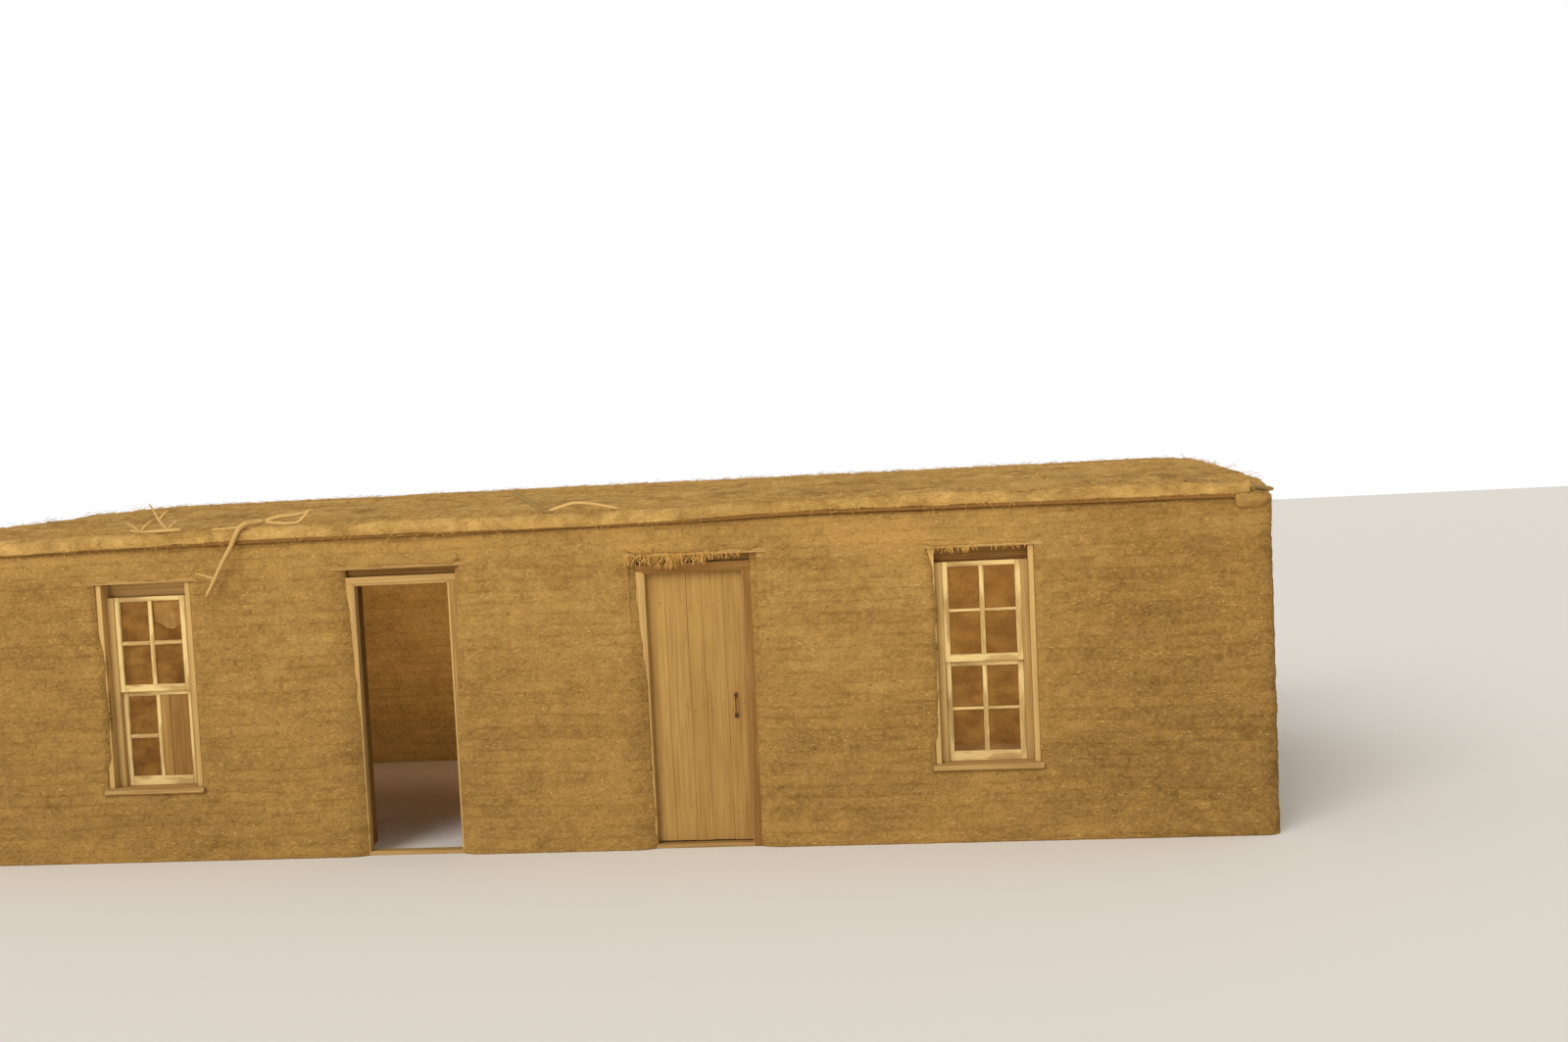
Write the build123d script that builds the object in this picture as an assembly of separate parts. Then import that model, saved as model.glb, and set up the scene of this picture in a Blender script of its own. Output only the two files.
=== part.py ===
from build123d import *
import math
import os

# Turf house: a long, low, one-room house of stacked turf with a single-slope turf roof.
# All sizes are millimetres. +Z is up, +Y runs from the front to the back, and the origin
# is the middle of the house's footprint on the ground.

# Driving dimensions of the house
house_length = 10170.0
house_depth = 5200.0
wall_thickness = 600.0
corner_radius = 90.0
roof_rise = 300.0
eave_overhang = 60.0
gable_overhang = 25.0

# Turf that covers the rafter ends, and the log and plank sizes of the roof
rafter_cover = 150.0
plate_height = 40.0
rafter_diameter = 120.0
rafter_count = 11
rafter_end_gap = 60.0
rafter_play = 2.0
board_thickness = 25.0
eave_plank_width = 250.0
eave_plank_joint_gap = 3.0
short_plank_length = 535.0
eave_plank_stop = 250.0

# Turf on the roof
eave_turf_thickness = 80.0
eave_turf_width = 350.0
turf_nose_depth = 45.0
turf_nose_inset = 5.0
roof_turf_crown = 125.0
roof_turf_edge = 80.0

# Turf that has slumped at the right-hand front corner, past the end of the eave plank
slump_length = 600.0
slump_fall = 95.0
slump_width = 200.0
gable_round = 60.0
clod_hang = 90.0
clod_reach = 12.0
clod_curl = 20.0
clod_overhang = 10.0

# Double-hung windows: two sashes, one above the other, in a plank frame
window_centres = {"left": -3092.0, "right": 3092.0}
sash_width = 552.0
sash_height = 713.0
sash_thickness = 30.0
sash_stile = 38.0
sash_top_rail = 32.0
sash_bottom_rail = 68.0
sash_play = 1.0
meeting_rail = 51.0
sash_setback = 100.0
glass_thickness = 4.0
window_jamb = 38.0
window_jamb_depth = 185.0
window_liner = 52.0
window_liner_depth = 80.0
window_liner_lead = 10.0
window_head_setback = 60.0
sill_thickness = 45.0
sill_projection = 30.0
sill_ear = 22.0
sill_fall = 8.0

# Doorways: the left one stands open, the right one has a plank leaf
doorway_centre = -1123.5
door_centre = 1038.0
door_clear_width = 702.0
door_clear_height = 2000.0
door_jamb = 50.0
door_jamb_depth = 100.0
door_setback = 40.0
door_stop = 15.0
stop_clearance = 5.0
threshold_height = 30.0
doorway_recess_left = 80.0
doorway_recess_right = 35.0
door_recess_left = 35.0
door_recess_right = 50.0
recess_depth = 40.0

# Turf openings, and what stands over their frames up to the eave
window_frame_setback = 15.0
arris_radius = 25.0
recess_arris_radius = 18.0
inner_splay_width = 90.0
lintel_thickness = 30.0
lintel_bearing_length = 150.0
door_head_packing = 55.0
turf_over_lintel = 200.0
window_lintel_drop = 30.0
window_head_board = 102.0

# Door leaf, its battens and its iron
leaf_thickness = 28.0
leaf_gap = 8.0
leaf_bottom_gap = 8.0
batten_height = 95.0
batten_thickness = 22.0
batten_inset = 40.0
batten_heights = (260.0, 1010.0, 1760.0)
hinge_heights = (260.0, 1760.0)
strap_length = 330.0
strap_height = 34.0
strap_tip_height = 20.0
strap_thickness = 4.0
eye_outer = 18.0
eye_bore = 9.0
eye_height = 24.0
pin_diameter = 8.0
pin_past_eye = 8.0
pintle_plate = 5.0
pintle_plate_width = 41.0
pintle_plate_inset = 4.0
pintle_plate_height = 90.0
pintle_arm_height = 8.0
pintle_arm_gap = 1.0
pull_height = 1020.0
pull_length = 150.0
pull_reach = 34.0
pull_diameter = 10.0
pull_corner = 14.0
pull_plate = 3.0
pull_plate_width = 28.0
pull_plate_height = 36.0
pull_from_edge = 80.0

# Branches on the front edge of the roof: where each one lies along the house, how long
# it is, and how thick its stem and its twigs are
forked_branch_place = -2140.0
forked_branch_length = 825.0
forked_branch_stem = 34.0
forked_branch_twig = 24.0
antler_branch_place = -2920.0
antler_branch_length = 430.0
antler_branch_stem = 30.0
antler_branch_twig = 20.0
bent_stick_place = 40.0
bent_stick_length = 750.0
bent_stick_thickness = 28.0
branch_in_from_edge = 70.0
branch_out_from_edge = 45.0
limb_taper = 0.6
corner_pole_length = 615.0
corner_pole_diameter = 40.0
corner_pole_in_from_edge = 170.0
corner_pole_past_gable = 15.0

# Room left under a round piece that rests on a flat one
seat_gap = 0.3

# Planes and lines that several pieces share
half_length = house_length / 2
front_face = -house_depth / 2
back_face = house_depth / 2
front_inside = front_face + wall_thickness
back_inside = back_face - wall_thickness
end_inside = half_length - wall_thickness
roof_slope = roof_rise / house_depth
door_head_top = door_clear_height + door_stop + door_jamb
door_lintel_height = door_head_top + door_head_packing
eave_height = door_lintel_height + lintel_thickness + turf_over_lintel
window_lintel_height = door_lintel_height - window_lintel_drop
window_head_height = window_lintel_height - window_head_board
eave_edge = front_face - eave_overhang
back_eave_edge = back_face + eave_overhang
gable_edge = half_length + gable_overhang
window_top = window_head_height
window_bottom = window_head_height - 2 * sash_height
plank_stop = half_length - eave_plank_stop
eave_plank_joint = plank_stop - short_plank_length
slump_start = half_length - slump_length


def roof_line(y):
    """Height of the underside of the roof boards at a distance from front to back."""
    return eave_height + roof_slope * (y - eave_edge)


def block(x_low, x_high, y_low, y_high, z_low, z_high):
    """A plain block between two corners."""
    middle = Pos((x_low + x_high) / 2, (y_low + y_high) / 2, (z_low + z_high) / 2)
    return middle * Box(x_high - x_low, y_high - y_low, z_high - z_low)


def along_length(points, x_low, x_high):
    """A solid with one outline across the house, run along the house's length."""
    outline = make_face(Plane.YZ * Polyline(*points, close=True))
    return Pos(x_low, 0, 0) * extrude(outline, amount=x_high - x_low, dir=(1, 0, 0))


def upright(points, z_low, z_high):
    """A solid with one plan outline, run upwards."""
    outline = make_face(Polyline(*points, close=True))
    return Pos(0, 0, z_low) * extrude(outline, amount=z_high - z_low, dir=(0, 0, 1))


def under_roof(x_low, x_high, y_low, y_high, drop_bottom, drop_top):
    """A layer that follows the roof's slope, between two depths below the roof line."""
    points = [
        (y_low, roof_line(y_low) - drop_bottom),
        (y_high, roof_line(y_high) - drop_bottom),
        (y_high, roof_line(y_high) - drop_top),
        (y_low, roof_line(y_low) - drop_top),
    ]
    return along_length(points, x_low, x_high)


def wall_block(x_low, x_high, y_low, y_high, z_low=0.0):
    """Turf wall from a level foot up to the underside of the roof boards."""
    points = [
        (y_low, z_low),
        (y_high, z_low),
        (y_high, roof_line(y_high)),
        (y_low, roof_line(y_low)),
    ]
    return along_length(points, x_low, x_high)


# Upright depths below the roof line of the rafters' middles and of the wall plates,
# with a hair of room above and below each log
roof_tilt = math.atan(roof_slope)
rafter_drop = (rafter_diameter / 2 + seat_gap) / math.cos(roof_tilt)
plate_top_drop = (rafter_diameter + 2 * seat_gap) / math.cos(roof_tilt)
plate_foot_drop = plate_top_drop + plate_height
front_ledge = front_face + rafter_cover
back_ledge = back_face - rafter_cover
ledge_end = half_length - rafter_cover


def front_ledge_pocket():
    """Space behind the front wall's outer skin that the wall plate and rafter ends take."""
    over = 50.0
    return under_roof(-ledge_end, ledge_end, front_ledge, front_inside + over, plate_foot_drop, -over)


def back_ledge_pocket():
    """The same space in the back wall."""
    over = 50.0
    return under_roof(-ledge_end, ledge_end, back_inside - over, back_ledge, plate_foot_drop, -over)


# Half widths of the plank frames, outside
window_half = sash_width / 2 + window_liner + window_jamb
door_half = door_clear_width / 2 + door_stop + door_jamb
window_frame_front = front_face + window_frame_setback
window_frame_back = window_frame_front + window_jamb_depth
upper_sash_front = front_face + sash_setback
lower_sash_front = upper_sash_front + sash_thickness + sash_play
door_frame_front = front_face + door_setback
door_frame_back = door_frame_front + door_jamb_depth

# The leaf lies flush with the back of its frame, and closes against the stops in front of it
leaf_back = door_frame_back
leaf_front = leaf_back - leaf_thickness
stop_back = leaf_front - stop_clearance


def rounded_arris(x, side, radius):
    """Plan arc from the wall's face round into the side of an opening at x."""
    bevel = radius * (1 - math.sqrt(0.5))
    return ThreePointArc(
        (x + side * radius, front_face),
        (x + side * bevel, front_face + bevel),
        (x, front_face + radius),
    )


def opening_cut(left, right, arris, side_lines, z_low, z_high):
    """Opening in the turf, from its rounded front arrises back to the inner face."""
    out = 1.0
    lines = [
        Polyline((left - arris, front_face), (left - arris, front_face - out),
                 (right + arris, front_face - out), (right + arris, front_face)),
        rounded_arris(left, -1, arris),
        rounded_arris(right, 1, arris),
        Polyline((left, front_face + arris), *side_lines[0]),
        Polyline((right, front_face + arris), *side_lines[1]),
        Line(side_lines[0][-1], side_lines[1][-1]),
    ]
    return Pos(0, 0, z_low) * extrude(make_face(Curve() + lines), amount=z_high - z_low, dir=(0, 0, 1))


def window_cut(centre):
    """Window opening in the turf: tight at the frame and splayed inside."""
    sides = []
    for side in (-1, 1):
        edge = centre + side * window_half
        sides.append([(edge, window_frame_back), (edge + side * inner_splay_width, front_inside + 1)])
    left, right = centre - window_half, centre + window_half
    low = window_bottom - sill_thickness
    return opening_cut(left, right, arris_radius, sides, low, window_lintel_height)


def door_cut(centre, recess_left, recess_right):
    """Doorway in the turf: a wider recess at the face, then the frame, then a splay."""
    recess_back = front_face + recess_depth
    sides = []
    for side, recess in ((-1, recess_left), (1, recess_right)):
        edge = centre + side * door_half
        sides.append([
            (edge + side * recess, recess_back),
            (edge, recess_back),
            (edge, door_frame_back),
            (edge + side * inner_splay_width, front_inside + 1),
        ])
    left, right = centre - door_half - recess_left, centre + door_half + recess_right
    return opening_cut(left, right, recess_arris_radius, sides, -1, door_lintel_height)


def lintel_span(centre, half, left, right):
    """Ends of a lintel that bears on the turf past both sides of an opening."""
    reach_left = max(left, inner_splay_width) + lintel_bearing_length
    reach_right = max(right, inner_splay_width) + lintel_bearing_length
    return centre - half - reach_left, centre + half + reach_right


def lintel(span, height):
    """Plank that carries the turf over an opening, as deep as the wall."""
    return block(span[0], span[1], front_face, front_inside, height, height + lintel_thickness)


window_spans = {
    side: lintel_span(centre, window_half, arris_radius, arris_radius)
    for side, centre in window_centres.items()
}
doorway_span = lintel_span(doorway_centre, door_half, doorway_recess_left, doorway_recess_right)
door_span = lintel_span(door_centre, door_half, door_recess_left, door_recess_right)
doorway_left = doorway_centre - door_half
doorway_right = doorway_centre + door_half
door_left = door_centre - door_half
door_right = door_centre + door_half


def front_walls():
    """The front wall in five lengths: three that stand on the ground, two over the doorways."""
    doorway_hole = door_cut(doorway_centre, doorway_recess_left, doorway_recess_right)
    door_hole = door_cut(door_centre, door_recess_left, door_recess_right)
    pocket = front_ledge_pocket()
    cuts = {
        "front_wall_left": [window_cut(window_centres["left"]), doorway_hole],
        "front_wall_middle": [doorway_hole, door_hole],
        "front_wall_right": [window_cut(window_centres["right"]), door_hole],
    }
    spans = {
        "front_wall_left": (-half_length, doorway_left),
        "front_wall_middle": (doorway_right, door_left),
        "front_wall_right": (door_right, half_length),
    }
    lintels = [
        lintel(window_spans["left"], window_lintel_height),
        lintel(window_spans["right"], window_lintel_height),
        lintel(doorway_span, door_lintel_height),
        lintel(door_span, door_lintel_height),
    ]
    walls = {}
    for name, (x_low, x_high) in spans.items():
        # Each standing length reaches the doorway's narrowest part, and is cut back to
        # the recess in front of the frame and to the splay behind it.
        wall = wall_block(x_low, x_high, front_face, front_inside)
        for cut in cuts[name] + lintels + [pocket]:
            wall = wall - cut
        walls[name] = wall
    walls["front_wall_left"] = round_corner(walls["front_wall_left"], -half_length, front_face)
    walls["front_wall_right"] = round_corner(walls["front_wall_right"], half_length, front_face)
    over = door_lintel_height + lintel_thickness
    for name, x_low, x_high in (
        ("front_wall_over_doorway", doorway_left, doorway_right),
        ("front_wall_over_door", door_left, door_right),
    ):
        walls[name] = wall_block(x_low, x_high, front_face, front_inside, over) - pocket
    return walls


def round_corner(wall, x, y):
    """Round one upright outer corner of a turf wall."""
    edges = [
        edge
        for edge in wall.edges().filter_by(Axis.Z)
        if abs(edge.center().X - x) < 1 and abs(edge.center().Y - y) < 1
    ]
    return fillet(edges, corner_radius)


def back_wall():
    """Plain turf wall at the back, with the ledge for its plate."""
    wall = wall_block(-half_length, half_length, back_inside, back_face) - back_ledge_pocket()
    wall = round_corner(wall, -half_length, back_face)
    return round_corner(wall, half_length, back_face)


def end_wall(side):
    """Plain end wall between the front and back walls, with its head cut to the roof's slope."""
    low, high = sorted((side * end_inside, side * half_length))
    return wall_block(low, high, front_inside, back_inside)


def wall_plate(y_low, y_high):
    """Plank laid on a wall's ledge to spread the load of the rafters."""
    return under_roof(-ledge_end, ledge_end, y_low, y_high, plate_foot_drop, plate_top_drop)


first_rafter = end_inside - rafter_end_gap - rafter_diameter / 2
rafter_step = 2 * first_rafter / (rafter_count - 1)
rafter_places = [-first_rafter + rafter_step * number for number in range(rafter_count)]


def rafters():
    """Round logs from the front wall plate to the back one, as separate solids."""
    length = (back_ledge - front_ledge) / math.cos(roof_tilt)
    shorten = rafter_diameter / 2 * roof_slope + rafter_play
    logs = []
    for x in rafter_places:
        log = Cylinder(rafter_diameter / 2, length - 2 * shorten)
        middle = (front_ledge + back_ledge) / 2
        place = Pos(x, middle, roof_line(middle) - rafter_drop)
        logs.append(place * Rot(math.degrees(roof_tilt) - 90, 0, 0) * log)
    return Compound(children=logs)


def beam_filling(y_low, y_high):
    """Turf packed on the wall plate in the spaces between the rafters."""
    half_slot = rafter_diameter / 2 + rafter_play
    edges = [-ledge_end]
    for x in rafter_places:
        edges += [x - half_slot, x + half_slot]
    edges.append(ledge_end)
    fills = []
    for x_low, x_high in zip(edges[0::2], edges[1::2]):
        fills.append(under_roof(x_low, x_high, y_low, y_high, plate_top_drop, 0))
    return Compound(children=fills)


def roof_boards():
    """Close-laid boards on the rafters, between the two eave planks."""
    y_low = eave_edge + eave_plank_width
    y_high = back_eave_edge - eave_plank_width
    return under_roof(-gable_edge, gable_edge, y_low, y_high, 0, -board_thickness)


def eave_plank(x_low, x_high, y_low):
    """Plank along an eave, standing out past the wall."""
    return under_roof(x_low, x_high, y_low, y_low + eave_plank_width, 0, -board_thickness)


def over_boards(y, rise):
    """A point on or above the boards' top, as a pair of depth and height."""
    return (y, roof_line(y) + board_thickness + rise)


def nose(y_foot, y_top, thickness):
    """Rounded turf edge: one arc from the plank's top out and up, level where it meets the turf's top."""
    depth = abs(y_foot - y_top)
    radius = (depth**2 + thickness**2) / (2 * thickness)
    to_foot = Vector(y_foot - y_top, radius - thickness).normalized()
    to_middle = (to_foot + Vector(0, 1)).normalized() * radius
    return ThreePointArc(
        over_boards(y_foot, 0),
        over_boards(y_top + to_middle.X, thickness - radius + to_middle.Y),
        over_boards(y_top, thickness),
    )


def section_at(x, lines):
    """Closed outline across the house, standing at a distance along it."""
    return Pos(x, 0, 0) * make_face(Plane.YZ * (Curve() + lines))


turf_split = eave_edge + eave_turf_width
slump_back = eave_edge + slump_width
slump_slope = slump_fall / (slump_length + gable_overhang)


def turf_front_rise(x):
    """Height of the eave turf's front over the boards: it falls away at the slumped corner."""
    return eave_turf_thickness - slump_slope * max(0.0, x - slump_start)


def eave_turf_section(x):
    """Outline of the eave turf: a rounded nose, a front that may slump, and a full back."""
    rise = turf_front_rise(x)
    nose_top = eave_edge + turf_nose_depth
    nose_foot = eave_edge + turf_nose_inset
    return section_at(x, [
        nose(nose_foot, nose_top, rise),
        Line(over_boards(nose_top, rise), over_boards(slump_back, rise)),
        Line(over_boards(slump_back, rise), over_boards(turf_split, eave_turf_thickness)),
        Line(over_boards(turf_split, eave_turf_thickness), over_boards(turf_split, 0)),
        Line(over_boards(turf_split, 0), over_boards(nose_foot, 0)),
    ])


def eave_turf():
    """Strip of turf along the front eave, thinner towards the slumped corner."""
    strip = loft([eave_turf_section(-gable_edge), eave_turf_section(slump_start)], ruled=True)
    return strip + loft([eave_turf_section(slump_start), eave_turf_section(plank_stop)], ruled=True)


def roof_turf_section(x, drop):
    """Outline of the main turf layer, lowered by a drop where its gable edge is rounded."""
    back_top = back_eave_edge - turf_nose_depth
    back_foot = back_eave_edge - turf_nose_inset
    crown_y = (turf_split + back_top) / 2
    edge = roof_turf_edge - drop
    return section_at(x, [
        Line(over_boards(turf_split, 0), over_boards(turf_split, edge)),
        ThreePointArc(
            over_boards(turf_split, edge),
            over_boards(crown_y, roof_turf_crown - drop),
            over_boards(back_top, edge),
        ),
        nose(back_foot, back_top, edge),
        Line(over_boards(back_foot, 0), over_boards(turf_split, 0)),
    ])


def roof_turf():
    """Main layer of turf: crowned, and rounded down at the back eave and at both gables."""
    in_from_gable = (0.0, gable_round * 0.3, gable_round)
    drops = (gable_round * 0.65, gable_round * 0.2, 0.0)
    places = [(-gable_edge + inset, drop) for inset, drop in zip(in_from_gable, drops)]
    places += [(-x, drop) for x, drop in reversed(places)]
    return loft([roof_turf_section(x, drop) for x, drop in places], ruled=True)


def clod_section(x, swell):
    """Outline of the clod of turf: its hanging lump in front and its top back over the boards."""
    rise = turf_front_rise(x)
    foot = -board_thickness - clod_hang * swell
    belly = rise - (rise - foot) * 0.55
    front = eave_edge - clod_reach * swell
    return section_at(x, [
        Line(over_boards(turf_split, -clod_hang), over_boards(front_face - clod_reach, foot)),
        ThreePointArc(
            over_boards(front_face - clod_reach, foot),
            over_boards(front + clod_curl, (foot + belly) / 2),
            over_boards(front, belly),
        ),
        ThreePointArc(
            over_boards(front, belly),
            over_boards(front + turf_nose_inset, (belly + rise) / 2),
            over_boards(front + turf_nose_depth, rise),
        ),
        Line(over_boards(front + turf_nose_depth, rise), over_boards(slump_back, rise)),
        Line(over_boards(slump_back, rise), over_boards(turf_split, eave_turf_thickness)),
        Line(over_boards(turf_split, eave_turf_thickness), over_boards(turf_split, -clod_hang)),
    ])


def corner_clod():
    """Lump of turf that fills the corner past the end of the eave plank and hangs over it."""
    clod_end = gable_edge + clod_overhang
    clod_middle = (plank_stop + clod_end) / 2
    sections = [
        clod_section(plank_stop + seat_gap, 0.7),
        clod_section(clod_middle, 1.0),
        clod_section(clod_end, 0.6),
    ]
    past = 2 * clod_overhang
    boards_front = eave_edge + eave_plank_width
    wall = under_roof(plank_stop - past, clod_end + past, front_face - seat_gap, turf_split + past,
                      clod_hang + wall_thickness, -seat_gap)
    boards = under_roof(plank_stop - past, clod_end + past, boards_front - seat_gap, turf_split + past,
                        clod_hang, -board_thickness - seat_gap)
    return loft(sections, ruled=True) - wall - boards


def window_frame(centre):
    """Plank jambs set in the turf, with the narrower strips that the sashes stand between."""
    liner_half = sash_width / 2
    jamb_half = liner_half + window_liner
    liner_front = upper_sash_front - window_liner_lead
    pieces = []
    for side in (-1, 1):
        low, high = sorted((centre + side * jamb_half, centre + side * window_half))
        pieces.append(
            block(low, high, window_frame_front, window_frame_back, window_bottom, window_lintel_height)
        )
        low, high = sorted((centre + side * liner_half, centre + side * jamb_half))
        pieces.append(
            block(low, high, liner_front, liner_front + window_liner_depth, window_bottom, window_top)
        )
    pieces.append(
        block(
            centre - jamb_half,
            centre + jamb_half,
            liner_front + window_head_setback,
            liner_front + window_liner_depth,
            window_top,
            window_lintel_height,
        )
    )
    frame = pieces[0]
    for piece in pieces[1:]:
        frame = frame + piece
    return frame


def window_sill(centre):
    """Sill plank under the frame, with a weathered top outside it and ears past its ends."""
    half = window_half
    bottom = window_bottom - sill_thickness
    nose_y = front_face - sill_projection
    outline = [
        (nose_y, bottom),
        (window_frame_back, bottom),
        (window_frame_back, window_bottom),
        (window_frame_front, window_bottom),
        (nose_y, window_bottom - sill_fall),
    ]
    sill = along_length(outline, centre - half, centre + half)
    ears = along_length(outline, centre - half - sill_ear, centre + half + sill_ear)
    far = 2 * window_jamb_depth
    ears = ears - block(centre - far * 2, centre + far * 2, front_face, front_face + far, 0, window_top)
    return sill + ears


def sash(centre, front, z_low, top_rail, bottom_rail):
    """One sash: two stiles and two rails around a single light."""
    half = sash_width / 2
    outer = block(centre - half, centre + half, front, front + sash_thickness, z_low, z_low + sash_height)
    light = block(
        centre - half + sash_stile,
        centre + half - sash_stile,
        front - 1,
        front + sash_thickness + 1,
        z_low + bottom_rail,
        z_low + sash_height - top_rail,
    )
    return outer - light


def pane(centre, front, z_low, top_rail, bottom_rail):
    """Glass that fills one sash's light."""
    half = sash_width / 2 - sash_stile
    middle = front + sash_thickness / 2
    return block(
        centre - half,
        centre + half,
        middle - glass_thickness / 2,
        middle + glass_thickness / 2,
        z_low + bottom_rail,
        z_low + sash_height - top_rail,
    )


upper_sash_bottom = window_top - sash_height
upper_rails = (sash_top_rail, meeting_rail)
lower_rails = (sash_top_rail, sash_bottom_rail)


def panes(centre):
    """Both sashes' glass, as two solids."""
    upper = pane(centre, upper_sash_front, upper_sash_bottom, *upper_rails)
    lower = pane(centre, lower_sash_front, window_bottom, *lower_rails)
    return Compound(children=[upper, lower])


def door_frame(centre):
    """Plank jambs, head and threshold of a doorway, with the stops nailed inside them."""
    inner = door_clear_width / 2 + door_stop
    head_bottom = door_clear_height
    outer = block(centre - door_half, centre + door_half, door_frame_front, door_frame_back, 0, door_head_top)
    hole = block(
        centre - inner,
        centre + inner,
        door_frame_front - 1,
        door_frame_back + 1,
        threshold_height,
        head_bottom + door_stop,
    )
    frame = outer - hole
    stop_front = door_frame_front
    stop_outer = block(
        centre - inner, centre + inner, stop_front, stop_back, threshold_height, head_bottom + door_stop
    )
    stop_hole = block(
        centre - inner + door_stop,
        centre + inner - door_stop,
        stop_front - 1,
        stop_back + 1,
        threshold_height - 1,
        head_bottom,
    )
    frame = frame + (stop_outer - stop_hole)
    packing = block(
        centre - door_half,
        centre + door_half,
        door_frame_back - door_jamb_depth / 2,
        door_frame_back,
        door_head_top,
        door_lintel_height,
    )
    return frame + packing


# The leaf swings inwards about a pin line behind its battens
door_inner_left = door_centre - door_clear_width / 2 - door_stop
door_inner_right = door_centre + door_clear_width / 2 + door_stop
leaf_left = door_inner_left + leaf_gap
leaf_right = door_inner_right - leaf_gap
leaf_bottom = threshold_height + leaf_bottom_gap
leaf_top = door_clear_height + door_stop - leaf_gap
batten_back = leaf_back + batten_thickness
hinge_x = door_inner_left
hinge_y = batten_back + strap_thickness / 2


def door_leaf():
    """Leaf of upright planks."""
    return block(leaf_left, leaf_right, leaf_front, leaf_back, leaf_bottom, leaf_top)


def door_battens():
    """Three cross battens on the inside of the leaf."""
    battens = []
    for height in batten_heights:
        battens.append(
            block(
                leaf_left + batten_inset,
                leaf_right - batten_inset,
                leaf_back,
                batten_back,
                height - batten_height / 2,
                height + batten_height / 2,
            )
        )
    return Compound(children=battens)


def strap_outline(height):
    """Side view of a strap: it narrows from the eye to a round tip."""
    root = strap_height / 2
    tip = strap_tip_height / 2
    tip_x = hinge_x + strap_length - tip
    lines = [
        Line((hinge_x, height - root), (tip_x, height - tip)),
        ThreePointArc((tip_x, height - tip), (tip_x + tip, height), (tip_x, height + tip)),
        Line((tip_x, height + tip), (hinge_x, height + root)),
        Line((hinge_x, height + root), (hinge_x, height - root)),
    ]
    return make_face(Plane.XZ * (Curve() + lines))


def strap_hinges():
    """Long iron straps on the battens, each with an eye that turns on a fixed pin."""
    straps = []
    over = 1.0
    for height in hinge_heights:
        strap = Pos(0, batten_back, 0) * extrude(strap_outline(height), amount=strap_thickness, dir=(0, 1, 0))
        place = Pos(hinge_x, hinge_y, height)
        eye = place * Cylinder(eye_outer / 2, eye_height)
        clear = place * Cylinder(eye_outer / 2, strap_height + 2 * over)
        bore = place * Cylinder(eye_bore / 2, eye_height + 2 * over)
        straps.append((strap - clear) + eye - bore)
    return Compound(children=straps)


def door_pintles():
    """Fixed plates on the jamb, each with an arm and an upright pin for a strap's eye."""
    pintles = []
    plate_right = hinge_x - pintle_plate_inset
    for height in hinge_heights:
        arm_top = height - eye_height / 2 - pintle_arm_gap
        arm_bottom = arm_top - pintle_arm_height
        plate = block(
            plate_right - pintle_plate_width,
            plate_right,
            door_frame_back,
            door_frame_back + pintle_plate,
            height - pintle_plate_height / 2,
            height + pintle_plate_height / 2,
        )
        arm = block(hinge_x - eye_outer, hinge_x, door_frame_back, hinge_y, arm_bottom, arm_top)
        boss = Cylinder(eye_outer / 2, pintle_arm_height)
        pin_length = eye_height + pintle_arm_gap + pin_past_eye
        pin = Cylinder(pin_diameter / 2, pin_length)
        pintles.append(
            plate
            + arm
            + Pos(hinge_x, hinge_y, (arm_bottom + arm_top) / 2) * boss
            + Pos(hinge_x, hinge_y, arm_top + pin_length / 2) * pin
        )
    return Compound(children=pintles)


def door_pull():
    """Bent iron pull on the outside of the leaf, on two small plates."""
    x = leaf_right - door_stop - pull_from_edge
    foot = leaf_front - pull_plate
    reach = leaf_front - pull_reach
    low, high = pull_height - pull_length / 2, pull_height + pull_length / 2
    line = Polyline(
        (x, foot, low),
        (x, reach + pull_corner, low),
        (x, reach, low + pull_corner),
        (x, reach, high - pull_corner),
        (x, reach + pull_corner, high),
        (x, foot, high),
    )
    section = Plane(origin=line @ 0, z_dir=line % 0) * Circle(pull_diameter / 2)
    pull = sweep(section, path=line, transition=Transition.RIGHT)
    half_width, half_height = pull_plate_width / 2, pull_plate_height / 2
    for end in (low, high):
        plate_low, plate_high = end - half_height, end + half_height
        pull = pull + block(x - half_width, x + half_width, foot, leaf_front, plate_low, plate_high)
    return pull


def limb_section(place, along, thickness):
    """Eight-sided section of a limb, square to its line, with a flat side underneath."""
    across = Vector(0, 1, 0) - along * along.Y
    outline = RegularPolygon(thickness / 2, 8, major_radius=False, rotation=22.5)
    return Plane(origin=place, x_dir=across, z_dir=along) * outline


def limb(points, start_thickness, end_thickness):
    """Bent limb of a branch that narrows evenly from its first point to its last."""
    places = [Vector(*point) for point in points]
    runs = [(after - before).normalized() for before, after in zip(places, places[1:])]
    directions = [runs[0]] + [(a + b).normalized() for a, b in zip(runs, runs[1:])] + [runs[-1]]
    narrowing = (end_thickness - start_thickness) / (len(places) - 1)
    sections = []
    for number, (place, along) in enumerate(zip(places, directions)):
        sections.append(limb_section(place, along, start_thickness + narrowing * number))
    return loft(sections, ruled=True)


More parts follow.
